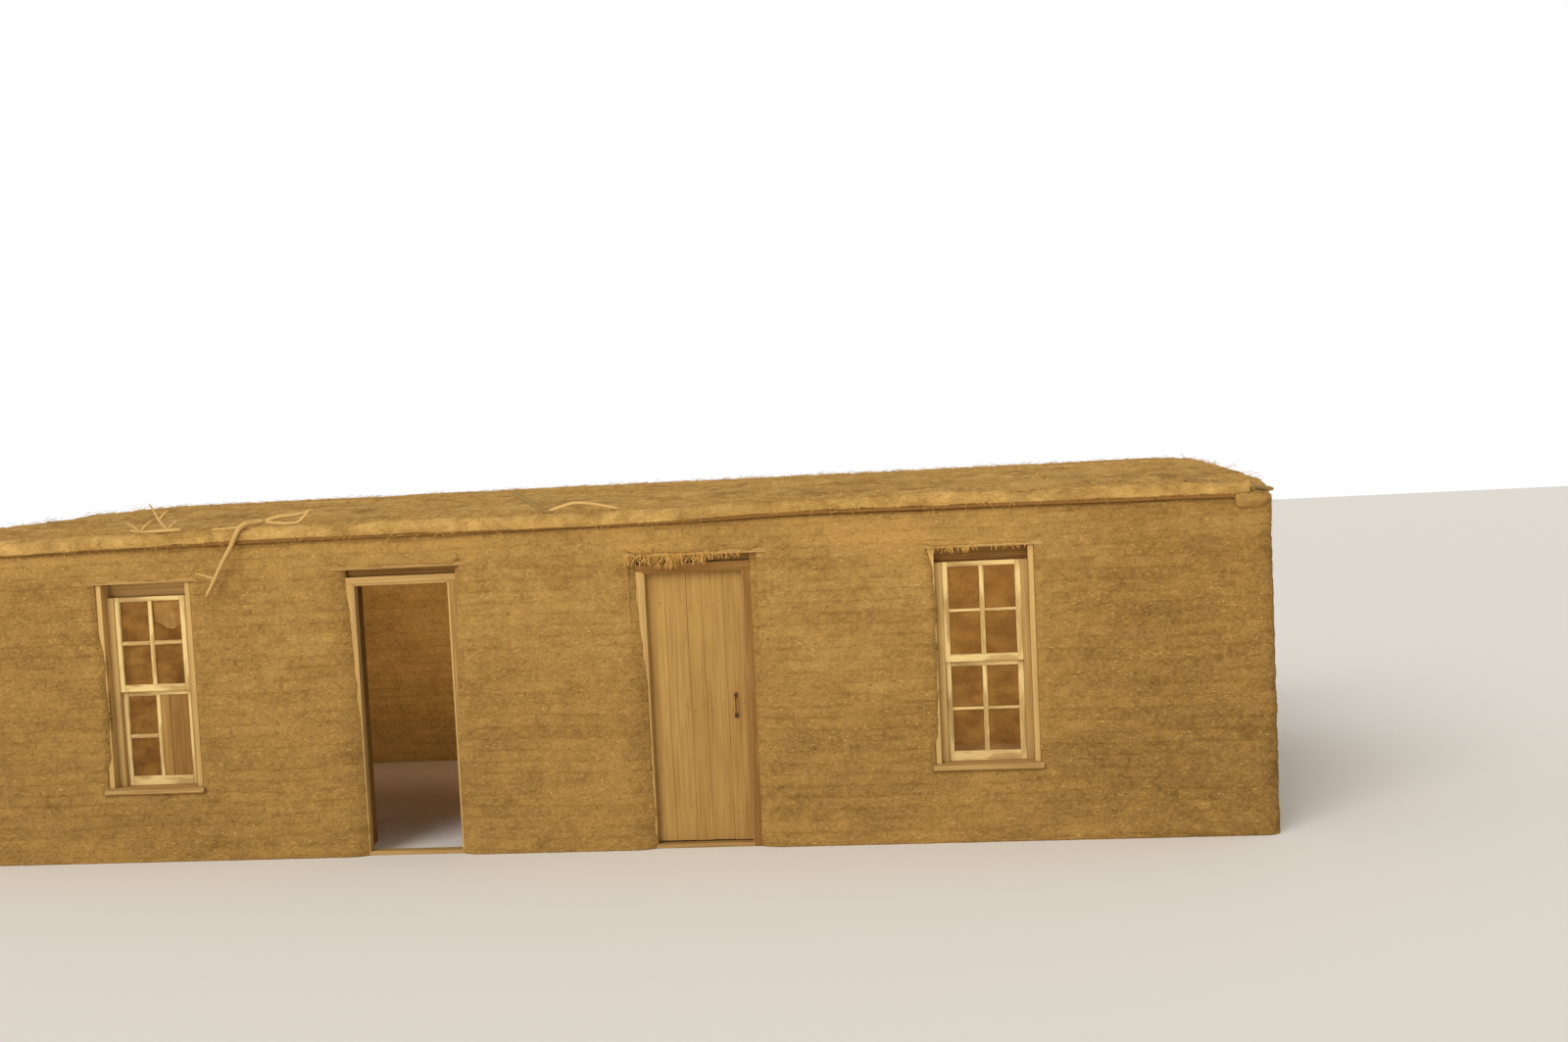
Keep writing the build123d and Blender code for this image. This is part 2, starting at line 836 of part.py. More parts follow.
def branch_limb(place, length, start_thickness, end_thickness, shares):
    """Limb of a branch from shares of its length: along the eave, out over it, and up from
    where the limb would lie flat on the eave turf."""
    rest_y = eave_edge + branch_in_from_edge
    reach = branch_in_from_edge + branch_out_from_edge
    narrowing = (end_thickness - start_thickness) / (len(shares) - 1)
    flat_share = math.tan(math.pi / 8)
    points = []
    for number, (along, out, up) in enumerate(shares):
        y = rest_y - out * reach
        half = (start_thickness + narrowing * number) / 2
        seat = over_boards(y, eave_turf_thickness)[1] + half * (1 + flat_share * roof_slope) + seat_gap
        points.append((place + along * length, y, seat + up * length))
    return limb(points, start_thickness, end_thickness)


def forked_branch():
    """Forked branch that lies on the eave turf and hangs down in front of the wall."""
    place, length, stem = forked_branch_place, forked_branch_length, forked_branch_stem
    twig = min(stem, forked_branch_twig)
    hanging = [(0.04, 0.0, 0.0), (-0.05, 0.35, 0.0), (-0.12, 0.85, 0.012), (-0.175, 1.0, -0.04),
               (-0.24, 1.0, -0.165), (-0.31, 1.0, -0.27), (-0.405, 0.95, -0.435), (-0.5, 0.9, -0.59)]
    upper = [(0.04, 0.0, 0.0), (0.19, -0.1, 0.045), (0.36, -0.15, 0.075), (0.5, -0.15, 0.115)]
    lower = [(0.04, 0.0, 0.0), (0.14, 0.1, 0.0), (0.25, 0.15, 0.0), (0.35, 0.2, 0.01),
             (0.42, 0.2, 0.075), (0.47, 0.2, 0.13)]
    left = [(-0.05, 0.35, 0.0), (-0.19, 0.3, 0.0), (-0.31, 0.35, 0.0), (-0.44, 0.4, 0.0)]
    side = [(-0.405, 0.95, -0.435), (-0.49, 1.0, -0.4), (-0.58, 1.0, -0.375)]
    branch = branch_limb(place, length, stem, stem * limb_taper, hanging)
    branch = branch + branch_limb(place, length, stem, stem * limb_taper, upper)
    for shares in (lower, left, side):
        branch = branch + branch_limb(place, length, twig, twig * limb_taper, shares)
    return branch


def antler_branch():
    """Short branch with several points, standing up from the eave turf like an antler."""
    place, length = antler_branch_place, antler_branch_length
    stem, twig = antler_branch_stem, antler_branch_twig
    main = [(0.42, 0.1, 0.0), (0.16, 0.05, 0.0), (-0.1, 0.0, 0.0), (-0.34, 0.05, 0.0), (-0.52, 0.1, 0.05)]
    points = [
        [(0.16, 0.05, 0.0), (0.02, 0.1, 0.19), (-0.05, 0.1, 0.33), (-0.14, 0.15, 0.5)],
        [(0.02, 0.1, 0.19), (0.09, 0.05, 0.29), (0.17, 0.05, 0.37)],
        [(0.16, 0.05, 0.0), (0.24, 0.1, 0.11), (0.36, 0.15, 0.2)],
        [(-0.34, 0.05, 0.0), (-0.22, 0.1, 0.13), (-0.1, 0.15, 0.22)],
        [(-0.34, 0.05, 0.0), (-0.46, 0.15, 0.12), (-0.57, 0.2, 0.2)],
    ]
    branch = branch_limb(place, length, stem, stem * limb_taper, main)
    for shares in points:
        branch = branch + branch_limb(place, length, twig, twig * limb_taper, shares)
    return branch


def bent_stick():
    """Bent stick lying along the eave turf, with one end in the air."""
    thickness = bent_stick_thickness
    shares = [(-0.31, 0.0, 0.19), (-0.14, 0.05, 0.08), (0.0, 0.1, 0.0), (0.12, 0.1, 0.0), (0.24, 0.0, 0.055),
              (0.45, 0.0, 0.035), (0.69, 0.05, 0.0)]
    return branch_limb(bent_stick_place, bent_stick_length, thickness * limb_taper, thickness, shares)


def corner_pole():
    """Straight pole that lies on the slumped turf at the right-hand corner of the roof."""
    middle_y = eave_edge + corner_pole_in_from_edge
    middle_x = gable_edge + corner_pole_past_gable - corner_pole_length / 2
    tilt = math.atan(slump_slope)
    lift = (corner_pole_diameter / 2 + seat_gap) / (math.cos(tilt) * math.cos(roof_tilt))
    middle_z = over_boards(middle_y, turf_front_rise(middle_x))[1] + lift
    log = Cylinder(corner_pole_diameter / 2, corner_pole_length)
    return Pos(middle_x, middle_y, middle_z) * Rot(0, 90 + math.degrees(tilt), 0) * log


def build():
    """Every node of the house, by name."""
    nodes = {}
    nodes.update(front_walls())
    nodes["left_end_wall"] = end_wall(-1)
    nodes["right_end_wall"] = end_wall(1)
    nodes["back_wall"] = back_wall()
    nodes["front_wall_plate"] = wall_plate(front_ledge, front_inside)
    nodes["back_wall_plate"] = wall_plate(back_inside, back_ledge)
    nodes["front_beam_filling"] = beam_filling(front_ledge, front_inside)
    nodes["back_beam_filling"] = beam_filling(back_inside, back_ledge)
    nodes["roof_rafters"] = rafters()
    nodes["roof_boards"] = roof_boards()
    joint_gap = eave_plank_joint_gap
    nodes["front_eave_plank_left"] = eave_plank(-gable_edge, eave_plank_joint - joint_gap, eave_edge)
    nodes["front_eave_plank_right"] = eave_plank(eave_plank_joint, plank_stop, eave_edge)
    nodes["back_eave_plank"] = eave_plank(-gable_edge, gable_edge, back_eave_edge - eave_plank_width)
    nodes["front_eave_turf"] = eave_turf()
    nodes["roof_turf"] = roof_turf()
    nodes["corner_clod"] = corner_clod()
    for side, centre in window_centres.items():
        nodes["window_lintel_" + side] = lintel(window_spans[side], window_lintel_height)
        nodes["window_frame_" + side] = window_frame(centre)
        nodes["window_sill_" + side] = window_sill(centre)
        nodes["upper_sash_" + side] = sash(centre, upper_sash_front, upper_sash_bottom, *upper_rails)
        nodes["lower_sash_" + side] = sash(centre, lower_sash_front, window_bottom, *lower_rails)
        nodes["window_panes_" + side] = panes(centre)
    nodes["doorway_lintel"] = lintel(doorway_span, door_lintel_height)
    nodes["door_lintel"] = lintel(door_span, door_lintel_height)
    nodes["doorway_frame"] = door_frame(doorway_centre)
    nodes["door_frame"] = door_frame(door_centre)
    nodes["door_leaf"] = door_leaf()
    nodes["door_battens"] = door_battens()
    nodes["door_strap_hinges"] = strap_hinges()
    nodes["door_pintles"] = door_pintles()
    nodes["door_pull"] = door_pull()
    nodes["forked_branch"] = forked_branch()
    nodes["antler_branch"] = antler_branch()
    nodes["bent_stick"] = bent_stick()
    nodes["corner_pole"] = corner_pole()
    return nodes


os.makedirs("parts", exist_ok=True)
for node_name, shape in build().items():
    export_step(shape, os.path.join("parts", node_name + ".step"))
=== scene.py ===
import math
import random

import bmesh
import bpy
import numpy as np
from bpy.props import FloatProperty, FloatVectorProperty, IntProperty, PointerProperty
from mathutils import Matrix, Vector, noise


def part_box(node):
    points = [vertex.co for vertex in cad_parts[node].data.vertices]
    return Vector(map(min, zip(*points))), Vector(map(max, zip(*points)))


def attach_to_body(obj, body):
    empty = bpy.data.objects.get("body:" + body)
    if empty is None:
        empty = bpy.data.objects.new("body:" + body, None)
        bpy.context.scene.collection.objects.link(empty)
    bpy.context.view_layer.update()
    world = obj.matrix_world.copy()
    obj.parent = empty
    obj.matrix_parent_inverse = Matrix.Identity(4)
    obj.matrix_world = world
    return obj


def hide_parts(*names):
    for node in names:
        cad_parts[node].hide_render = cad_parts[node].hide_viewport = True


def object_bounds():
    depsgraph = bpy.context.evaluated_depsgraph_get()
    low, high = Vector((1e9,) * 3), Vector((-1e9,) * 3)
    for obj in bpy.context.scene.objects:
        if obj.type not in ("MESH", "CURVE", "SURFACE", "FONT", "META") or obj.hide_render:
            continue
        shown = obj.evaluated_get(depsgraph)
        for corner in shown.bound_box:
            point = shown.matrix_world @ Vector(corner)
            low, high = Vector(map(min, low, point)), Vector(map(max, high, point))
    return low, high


bl_info = {
    "name": "Turf House",
    "version": (1, 0, 0),
    "blender": (4, 5, 0),
    "location": "3D View > Sidebar > Turf House",
    "description": "Builds the looks of a one-room turf house around its fixed construction frame",
    "category": "Add Mesh",
}

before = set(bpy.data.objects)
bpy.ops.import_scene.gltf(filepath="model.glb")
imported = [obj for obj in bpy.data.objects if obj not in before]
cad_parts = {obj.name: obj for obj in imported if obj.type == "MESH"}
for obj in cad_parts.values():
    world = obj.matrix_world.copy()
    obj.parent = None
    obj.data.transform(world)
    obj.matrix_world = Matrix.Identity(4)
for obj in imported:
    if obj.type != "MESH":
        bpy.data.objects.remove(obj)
cad_bounds = [list(corner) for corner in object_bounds()]
MM = 0.001


def linear(code):
    """Turn an sRGB hex colour into the linear values that a colour property takes."""
    channels = [int(code[place : place + 2], 16) / 255 for place in (0, 2, 4)]
    return tuple(c / 12.92 if c <= 0.04045 else ((c + 0.055) / 1.055) ** 2.4 for c in channels)


def add(tree, kind, values=(), **settings):
    """Add one node to a tree. The values, in order or by name, are numbers, colours, sockets or nodes
    for its inputs, and the settings are its own properties."""
    node = tree.nodes.new(kind)
    for name, value in settings.items():
        setattr(node, name, value)
    for key, value in values.items() if isinstance(values, dict) else enumerate(values):
        if isinstance(key, str):
            socket = next(s for s in node.inputs if s.enabled and s.name == key)
        else:
            socket = node.inputs[key]
        if isinstance(value, bpy.types.Node):
            value = next(s for s in value.outputs if s.enabled)
        if isinstance(value, bpy.types.NodeSocket):
            tree.links.new(value, socket)
        elif socket.type == "RGBA" and len(value) == 3:
            socket.default_value = (*value, 1)
        else:
            socket.default_value = value
    return node


def eased(share):
    """A share held between 0 and 1, which starts and ends softly."""
    share = min(1.0, max(0.0, share))
    return share * share * (3 - 2 * share)


def between(start, stop, count):
    """Evenly spread numbers from start to stop, both included."""
    return [start + (stop - start) * k / count for k in range(count + 1)]


# Places that the construction gives, in metres
wall_low, wall_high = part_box("front_wall_middle")
FRONT = wall_low.y
FRONT_INSIDE = wall_high.y
HALF_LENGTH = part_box("front_wall_right")[1].x
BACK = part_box("back_wall")[1].y
BOARD_THICKNESS = 25 * MM
boards_low, boards_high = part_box("roof_boards")
ROOF_SLOPE = (boards_high.z - boards_low.z - BOARD_THICKNESS) / (boards_high.y - boards_low.y)
EAVE_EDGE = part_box("front_eave_plank_left")[0].y
EAVE_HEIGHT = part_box("front_eave_plank_left")[0].z
CORNER_RADIUS = 90 * MM


def roof_line(y):
    """Height of the underside of the roof boards at a distance from front to back."""
    return EAVE_HEIGHT + ROOF_SLOPE * (y - EAVE_EDGE)


def a_length(name, description, default):
    """A property for a length in metres."""
    return FloatProperty(name=name, description=description, default=default, subtype="DISTANCE")


def a_colour(name, description, code):
    """A property for a colour, given as an sRGB hex code."""
    return FloatVectorProperty(
        name=name, description=description, default=linear(code), subtype="COLOR", min=0, max=1)


class TurfHouseWalls(bpy.types.PropertyGroup):
    """Sizes and colours of the stacked turf of the walls."""

    course_height: a_length("Course height", "Height of one course of cut turf", 82 * MM)
    sod_length: a_length("Sod length", "Length of one sod along the wall", 0.62)
    joint_width: a_length("Joint width", "Width over which a joint dips", 15 * MM)
    joint_depth: a_length("Joint depth", "How far a joint lies behind the sods' faces", 5 * MM)
    pock_depth: a_length("Pock depth", "Depth of the holes left by fallen crumbs", 14 * MM)
    front_grid: a_length("Front grid", "Mesh spacing on the front wall", 16 * MM)
    rear_grid: a_length("Rear grid", "Mesh spacing on the ends and back", 30 * MM)
    root_length: a_length("Root length", "Length of the longest roots on the face", 55 * MM)
    seed: IntProperty(name="Seed", description="Arrangement of the sods", default=7)
    light: a_colour("Dry earth", "Sunlit dry face of the turf", "B58C4C")
    middle: a_colour("Earth", "Common colour of the turf", "987138")
    # The crevice colour is painted shade: joints and pocks are darkened towards it, where shade falls
    dark: a_colour("Crevice", "Damp earth in joints and pocks", "65401D")
    root: a_colour("Roots", "Dry roots and grass stems", "E0B96E")


class TurfHouseRoof(bpy.types.PropertyGroup):
    """Sizes and colours of the turf on the roof."""

    sod_width: a_length("Sod width", "Width of a strip of roof turf", 0.36)
    sod_length: a_length("Sod length", "Length of a roof sod", 0.75)
    grid: a_length("Roof grid", "Mesh spacing on the main roof", 30 * MM)
    eave_grid: a_length("Eave grid", "Mesh spacing along the eave", 14 * MM)
    grass_length: a_length("Grass length", "Length of the longest dry stems", 0.13)
    seed: IntProperty(name="Seed", description="Arrangement of the grass", default=23)
    straw: a_colour("Dry grass", "Bleached grass mat", "DAB067")
    mat: a_colour("Grass mat", "Common colour of the mat", "AC8242")
    # The soil colour also fills the roof sods' joints and pocks, where it is partly bare soil and partly
    # painted shade
    soil: a_colour("Bare soil", "Worn patches between the grass", "7B5428")


class TurfHouseTimber(bpy.types.PropertyGroup):
    """Colours and wear of the boards, logs, sashes and iron."""

    edge_wear: a_length("Edge wear", "Rounding of a sawn board's edges", 2.5 * MM)
    plank_light: a_colour("Plank", "Bleached face of a sawn plank", "C6A365")
    # Boards whose low tone stands for painted shade are darkened towards this colour as well
    plank_dark: a_colour("Plank grain", "Dark grain and grime", "835B2C")
    door_light: a_colour("Door board", "Face of the door's boards", "C29B58")
    sash_paint: a_colour("Sash paint", "Old thin paint on the sashes", "E6C887")
    log_bark: a_colour("Log", "Peeled log inside the roof", "8D693A")
    branch: a_colour("Branch", "Bleached dead wood", "D2AB68")
    iron: a_colour("Iron", "Rusted wrought iron", "4A3420")
    upright_bar: a_length("Upright bar", "Width of a sash's upright bar", 28 * MM)
    cross_bar: a_length("Cross bar", "Height of a sash's cross bar", 14 * MM)


class TurfHouseStage(bpy.types.PropertyGroup):
    """Camera and light."""

    focal_length: FloatProperty(
        name="Focal length", description="Lens in millimetres on a 36 mm wide frame",
        default=36.77, subtype="DISTANCE_CAMERA")
    lens_rise: FloatProperty(
        name="Lens rise", description="Upward shift as a share of the picture's width", default=0.0575)
    sun_strength: FloatProperty(
        name="Key light", description="Strength of the soft key light", default=1.9)
    sky_strength: FloatProperty(
        name="Fill light", description="Strength of the even fill light", default=0.56)
    bounce_strength: FloatProperty(
        name="Bounce light", description="Power of the low soft lamp in front, which lights under the eave",
        default=30.0, subtype="POWER")
    room_strength: FloatProperty(
        name="Room light", description="Power of the soft lamp inside, which keeps the room from going black",
        default=61.0, subtype="POWER")


# Materials

def noise_of_size(tree, place, sizes, **choices):
    """Soft noise whose features have real sizes, in metres along X, Y and Z."""
    scaled = add(tree, "ShaderNodeMapping", {"Vector": place, "Scale": [1 / size for size in sizes]})
    return add(tree, "ShaderNodeTexNoise", {"Vector": scaled, "Scale": 1.0, **choices})


def weighted(tree, total, *parts):
    """A value with fields added to it, each times its weight."""
    for field, weight in parts:
        total = add(tree, "ShaderNodeMath", (field, weight, total), operation="MULTIPLY_ADD")
    return total


def layered(tree, base, *layers):
    """A colour with further colours laid over it, each by its own share."""
    for share, over in layers:
        base = add(tree, "ShaderNodeMix", {"Factor": share, "A": base, "B": over}, data_type="RGBA")
    return base


def cut_turf(tree):
    """Cut prairie turf, dried: spade-cut earth held by roots. Dull and dark brown with pale root ends,
    joints and pocks darkened as painted shade, and a faint run along the courses. The top courses
    under the eave are made paler as painted light, and the right end is darker."""
    colours = bpy.context.scene.turf_house_walls
    place = add(tree, "ShaderNodeTexCoord").outputs["Object"]
    along, depth, height = add(tree, "ShaderNodeSeparateXYZ", (place,)).outputs
    blotch = noise_of_size(tree, place, (0.7, 0.7, 0.5), Detail=4.0)
    patch = add(tree, "ShaderNodeMapRange", (blotch, 0.3, 0.7))
    # Crumbs of 34 by 24 mm, drawn coarser than real soil so that they show
    crumbs = noise_of_size(tree, place, (34 * MM, 34 * MM, 24 * MM), Detail=3.0, Roughness=0.62)
    grain = add(tree, "ShaderNodeMapRange", (crumbs, 0.3, 0.72))
    mottle = noise_of_size(tree, place, (0.12, 0.12, 70 * MM), Detail=3.0)
    around = add(tree, "ShaderNodeMath", (along, depth), operation="ADD")
    around = add(tree, "ShaderNodeMath", (around, FRONT), operation="SUBTRACT")
    gap, breaks, sod = sod_pattern(
        tree, place, around, height, colours.course_height, colours.sod_length, colours.seed)
    joint = add(tree, "ShaderNodeMapRange", (gap, 8 * MM, 0.0), interpolation_type="SMOOTHSTEP")
    opened = add(tree, "ShaderNodeMapRange", (breaks, 0.38, 0.6, 0.05, 0.42))
    joint = add(tree, "ShaderNodeMath", (joint, opened), operation="MULTIPLY")
    # Painted light: the courses under the eave are made paler, which offsets the shade under the eave. The
    # right end is darker.
    lightened = add(tree, "ShaderNodeMapRange", (height, EAVE_HEIGHT - 0.27, EAVE_HEIGHT - 0.2, 0.0, 0.16),
              interpolation_type="SMOOTHSTEP")
    darker_right_end = add(tree, "ShaderNodeMapRange", (along, 3.3, 4.3, 0.0, 0.25), interpolation_type="SMOOTHSTEP")
    tone = weighted(tree, -0.27, (patch, 0.3), (mottle, 0.75), (grain, 0.45), (sod, 0.2))
    tone = add(tree, "ShaderNodeMath", (tone, lightened), operation="ADD")
    tone = add(tree, "ShaderNodeMath", (tone, darker_right_end), operation="SUBTRACT")
    # Root ends: thin pale strokes of 24 by 9 mm that lie along the courses
    strokes = noise_of_size(tree, place, (24 * MM, 24 * MM, 9 * MM), Detail=2.0, Distortion=1.5)
    flecks = add(tree, "ShaderNodeMapRange", (strokes, 0.62, 0.72, 0.0, 0.75))
    # Painted shade in hollows: small pits, the joint lines and the relief's crevices are darkened towards the
    # crevice colour
    pits = noise_of_size(tree, place, (36 * MM, 36 * MM, 30 * MM), Detail=3.0)
    pit = add(tree, "ShaderNodeMapRange", (pits, 0.37, 0.27, 0.0, 0.6))
    crevice_shade = add(tree, "ShaderNodeAttribute", attribute_name="crevice_shade").outputs["Fac"]
    hollow = add(tree, "ShaderNodeMath", (crevice_shade, pit), operation="MAXIMUM", use_clamp=True)
    hollow = add(tree, "ShaderNodeMath", (hollow, joint), operation="MAXIMUM")
    shade = add(tree, "ShaderNodeMath", (hollow, 0.8), operation="MULTIPLY")
    earth = layered(tree, [c * 0.62 for c in colours.middle], (tone, colours.light), (flecks, colours.root),
                    (shade, colours.dark))
    clod_place = add(tree, "ShaderNodeMapping", {
        "Vector": place, "Scale": [1 / size for size in (20 * MM, 20 * MM, 13 * MM)]})
    clods = add(tree, "ShaderNodeTexVoronoi", {"Vector": clod_place, "Scale": 1.0}).outputs["Distance"]
    relief = weighted(tree, crumbs, (strokes, 0.5), (clods, -0.5))
    bump = add(tree, "ShaderNodeBump", {"Strength": 1.0, "Distance": 9 * MM, "Height": relief})
    return add(tree, "ShaderNodeBsdfPrincipled", {
        "Base Color": earth, "Roughness": 0.95, "Specular IOR Level": 0.06, "Normal": bump})


def grass_turf(tree):
    """Roof turf, laid grass side up: a dead mat of bleached stems, patchy, with bare soil in worn patches,
    and the sods' joints and pocks turned to the soil's colour, partly bare soil and partly painted shade.
    """
    colours = bpy.context.scene.turf_house_roof
    place = add(tree, "ShaderNodeTexCoord").outputs["Object"]
    wide = noise_of_size(tree, place, (0.55, 0.4, 0.4), Detail=5.0, Roughness=0.6)
    patch = add(tree, "ShaderNodeMapRange", (wide, 0.38, 0.64))
    # Matted stems of 34 by 14 mm, drawn coarser than real grass so that they show
    stems = noise_of_size(tree, place, (34 * MM, 14 * MM, 14 * MM), Detail=4.0, Roughness=0.7, Distortion=1.2)
    stem = add(tree, "ShaderNodeMapRange", (stems, 0.3, 0.7))
    clumps = noise_of_size(tree, place, (0.13, 0.13, 0.13), Detail=3.0)
    clump = add(tree, "ShaderNodeMapRange", (clumps, 0.36, 0.64))
    bare = noise_of_size(tree, place, (0.4, 0.3, 0.3), Detail=2.0)
    worn = add(tree, "ShaderNodeMapRange", (bare, 0.5, 0.75, 0.0, 0.6))
    sod, crevice_shade = [add(tree, "ShaderNodeAttribute", attribute_name=name).outputs["Fac"]
                    for name in ("sod", "crevice_shade")]
    tone = weighted(tree, -0.25, (stem, 0.5), (sod, 0.25), (clump, 0.5), (patch, 0.4))
    # Worn patches show bare soil; the joints and pocks are turned to the soil's colour too, partly as bare
    # soil and partly as painted shade
    hollow = add(tree, "ShaderNodeMath", (crevice_shade, 0.6, worn), operation="MULTIPLY_ADD", use_clamp=True)
    grass = layered(tree, colours.mat, (tone, colours.straw), (hollow, colours.soil))
    bump = add(tree, "ShaderNodeBump", {"Strength": 1.0, "Distance": 14 * MM, "Height": stems})
    return add(tree, "ShaderNodeBsdfPrincipled", {
        "Base Color": grass, "Roughness": 0.95, "Specular IOR Level": 0.05, "Normal": bump})


def dry_stems(tree, pale):
    """Dry grass stem or root: matt and pale, a little darker from stem to stem."""
    place = add(tree, "ShaderNodeTexCoord").outputs["Object"]
    tint = add(tree, "ShaderNodeTexNoise", {"Vector": place, "Scale": 28.0, "Detail": 1.0})
    share = add(tree, "ShaderNodeMapRange", (tint, 0.35, 0.65))
    stem = layered(tree, (pale[0] * 0.72, pale[1] * 0.66, pale[2] * 0.58), (share, pale))
    return add(tree, "ShaderNodeBsdfPrincipled", {
        "Base Color": stem, "Roughness": 0.85, "Specular IOR Level": 0.08})


def sawn_wood(tree, light, dark, paint=None, grain_contrast=1.0):
    """Sawn cottonwood or pine, weathered without oil: raised grain in long streaks, grime in the soft
    wood, and where it was painted, thin paint worn off along the grain. Reads each board's own grain
    and tone; on some frame boards and the eave planks that tone is painted shade or painted light."""
    grain = add(tree, "ShaderNodeAttribute", attribute_name="grain").outputs["Vector"]
    tone = add(tree, "ShaderNodeAttribute", attribute_name="tone").outputs["Fac"]
    # Streaks 9 mm wide run half a metre, with fibres of 2.5 mm in them and stains of 90 mm over them
    streaks = noise_of_size(tree, grain, (0.6, 9 * MM, 9 * MM), Detail=4.0, Roughness=0.7, Distortion=0.25)
    fibre = noise_of_size(tree, grain, (70 * MM, 2.5 * MM, 2.5 * MM), Detail=2.0)
    stain = noise_of_size(tree, grain, (0.35, 90 * MM, 90 * MM), Detail=3.0)
    streaked = add(tree, "ShaderNodeMapRange", (
        streaks, 0.34, 0.66, 0.5 - 0.3 * grain_contrast, 0.5 + 0.3 * grain_contrast))
    streaked = add(tree, "ShaderNodeMath", (tone, weighted(tree, streaked, (stain, 0.5))), operation="ADD")
    level = add(tree, "ShaderNodeMapRange", (streaked, 0.75, 1.75))
    wood = layered(tree, dark, (level, light))
    if paint is not None:
        worn = weighted(tree, stain, (fibre, 0.35))
        cover = add(tree, "ShaderNodeMapRange", (worn, 0.76, 0.62, 0.15, 0.92))
        wood = layered(tree, wood, (cover, paint))
    relief = weighted(tree, streaks, (fibre, 0.4))
    bump = add(tree, "ShaderNodeBump", {"Strength": 0.5, "Distance": 1.5 * MM, "Height": relief})
    return add(tree, "ShaderNodeBsdfPrincipled", {
        "Base Color": wood, "Roughness": 0.85, "Specular IOR Level": 0.08, "Normal": bump})


def dead_wood(tree):
    """Dead branch, barkless and bleached by sun: silvery straw colour with dark cracks along it."""
    pale = bpy.context.scene.turf_house_timber.branch
    return sawn_wood(tree, pale, [c * 0.45 for c in pale], None, 0.8)


def rough_timber(tree, light, dark):
    """Rough timber inside the roof, which nobody planed: its streaks run along the house."""
    place = add(tree, "ShaderNodeTexCoord").outputs["Object"]
    streaks = noise_of_size(tree, place, (0.5, 12 * MM, 12 * MM), Detail=4.0, Roughness=0.7)
    level = add(tree, "ShaderNodeMapRange", (streaks, 0.3, 0.7))
    bump = add(tree, "ShaderNodeBump", {"Strength": 0.5, "Distance": 2 * MM, "Height": streaks})
    return add(tree, "ShaderNodeBsdfPrincipled", {
        "Base Color": layered(tree, dark, (level, light)), "Roughness": 0.85, "Normal": bump})


def wrought_iron(tree):
    """Forged iron, rusted outdoors: dark brown, dull, with lighter rust blooms and a hammered skin."""
    iron = bpy.context.scene.turf_house_timber.iron
    place = add(tree, "ShaderNodeTexCoord").outputs["Object"]
    bloom = add(tree, "ShaderNodeTexNoise", {"Vector": place, "Scale": 60.0, "Detail": 5.0})
    level = add(tree, "ShaderNodeMapRange", (bloom, 0.4, 0.68))
    dents = add(tree, "ShaderNodeTexVoronoi", {"Vector": place, "Scale": 120.0})
    bump = add(tree, "ShaderNodeBump", {"Strength": 0.35, "Distance": 1 * MM, "Height": dents})
    return add(tree, "ShaderNodeBsdfPrincipled", {
        "Base Color": layered(tree, iron, (level, linear("8A5A2C"))), "Roughness": 0.62, "Metallic": 0.55,
        "Normal": bump})


def cylinder_glass(tree):
    """Hand-blown cylinder window glass: slightly wavy, with a film of brown dust that hides part of the
    dark room behind it. The film is what shows; the clear glass between is left open to the light."""
    place = add(tree, "ShaderNodeTexCoord").outputs["Object"]
    waves = noise_of_size(tree, place, (90 * MM, 90 * MM, 0.3), Detail=1.0)
    bump = add(tree, "ShaderNodeBump", {"Strength": 0.25, "Distance": 4 * MM, "Height": waves})
    dust = noise_of_size(tree, place, (0.12, 0.12, 0.2), Detail=5.0, Roughness=0.65)
    film = add(tree, "ShaderNodeMapRange", (dust, 0.35, 0.7, 0.25, 0.6))
    smears = noise_of_size(tree, place, (0.16, 0.16, 90 * MM), Detail=3.0)
    smear = add(tree, "ShaderNodeMapRange", (smears, 0.35, 0.65))
    return add(tree, "ShaderNodeBsdfPrincipled", {
        "Base Color": layered(tree, linear("8A5C28"), (smear, linear("AA7A3A"))), "Roughness": 0.12,
        "IOR": 1.45, "Specular IOR Level": 0.12, "Alpha": film, "Normal": bump})


def cotton_muslin(tree):
    """Unbleached cotton muslin, plain woven and thin: threads about 1 mm apart, drawn at 3 mm to show."""
    thread = add(tree, "ShaderNodeUVMap", uv_map="cloth")
    warp, weft = [add(tree, "ShaderNodeTexWave", {"Vector": thread, "Scale": 105.0, "Distortion": 0.6},
                      bands_direction=axis) for axis in "XY"]
    weave = add(tree, "ShaderNodeMath", (warp, weft), operation="MULTIPLY")
    stain = add(tree, "ShaderNodeTexNoise", {"Vector": thread, "Scale": 7.0, "Detail": 3.0})
    level = weighted(tree, stain, (weave, 0.25))
    bump = add(tree, "ShaderNodeBump", {"Strength": 0.3, "Distance": 0.5 * MM, "Height": weave})
    return add(tree, "ShaderNodeBsdfPrincipled", {
        "Base Color": layered(tree, linear("DDB362"), (level, linear("FCDC92"))), "Roughness": 0.9,
        "Specular IOR Level": 0.1, "Normal": bump})


def studio_floor(tree):
    """Plain pale matt floor, which shows nothing but the shadow."""
    return add(tree, "ShaderNodeBsdfPrincipled", {
        "Base Color": linear("EDE8DF"), "Roughness": 0.9, "Specular IOR Level": 0.1})


def material_from(name, recipe, *choices):
    """A material with the shader that a recipe adds to its tree."""
    material = bpy.data.materials.new(name)
    material.use_nodes = True
    tree = material.node_tree
    tree.nodes.clear()
    add(tree, "ShaderNodeOutputMaterial", {"Surface": recipe(tree, *choices)})
    return material


materials = {}


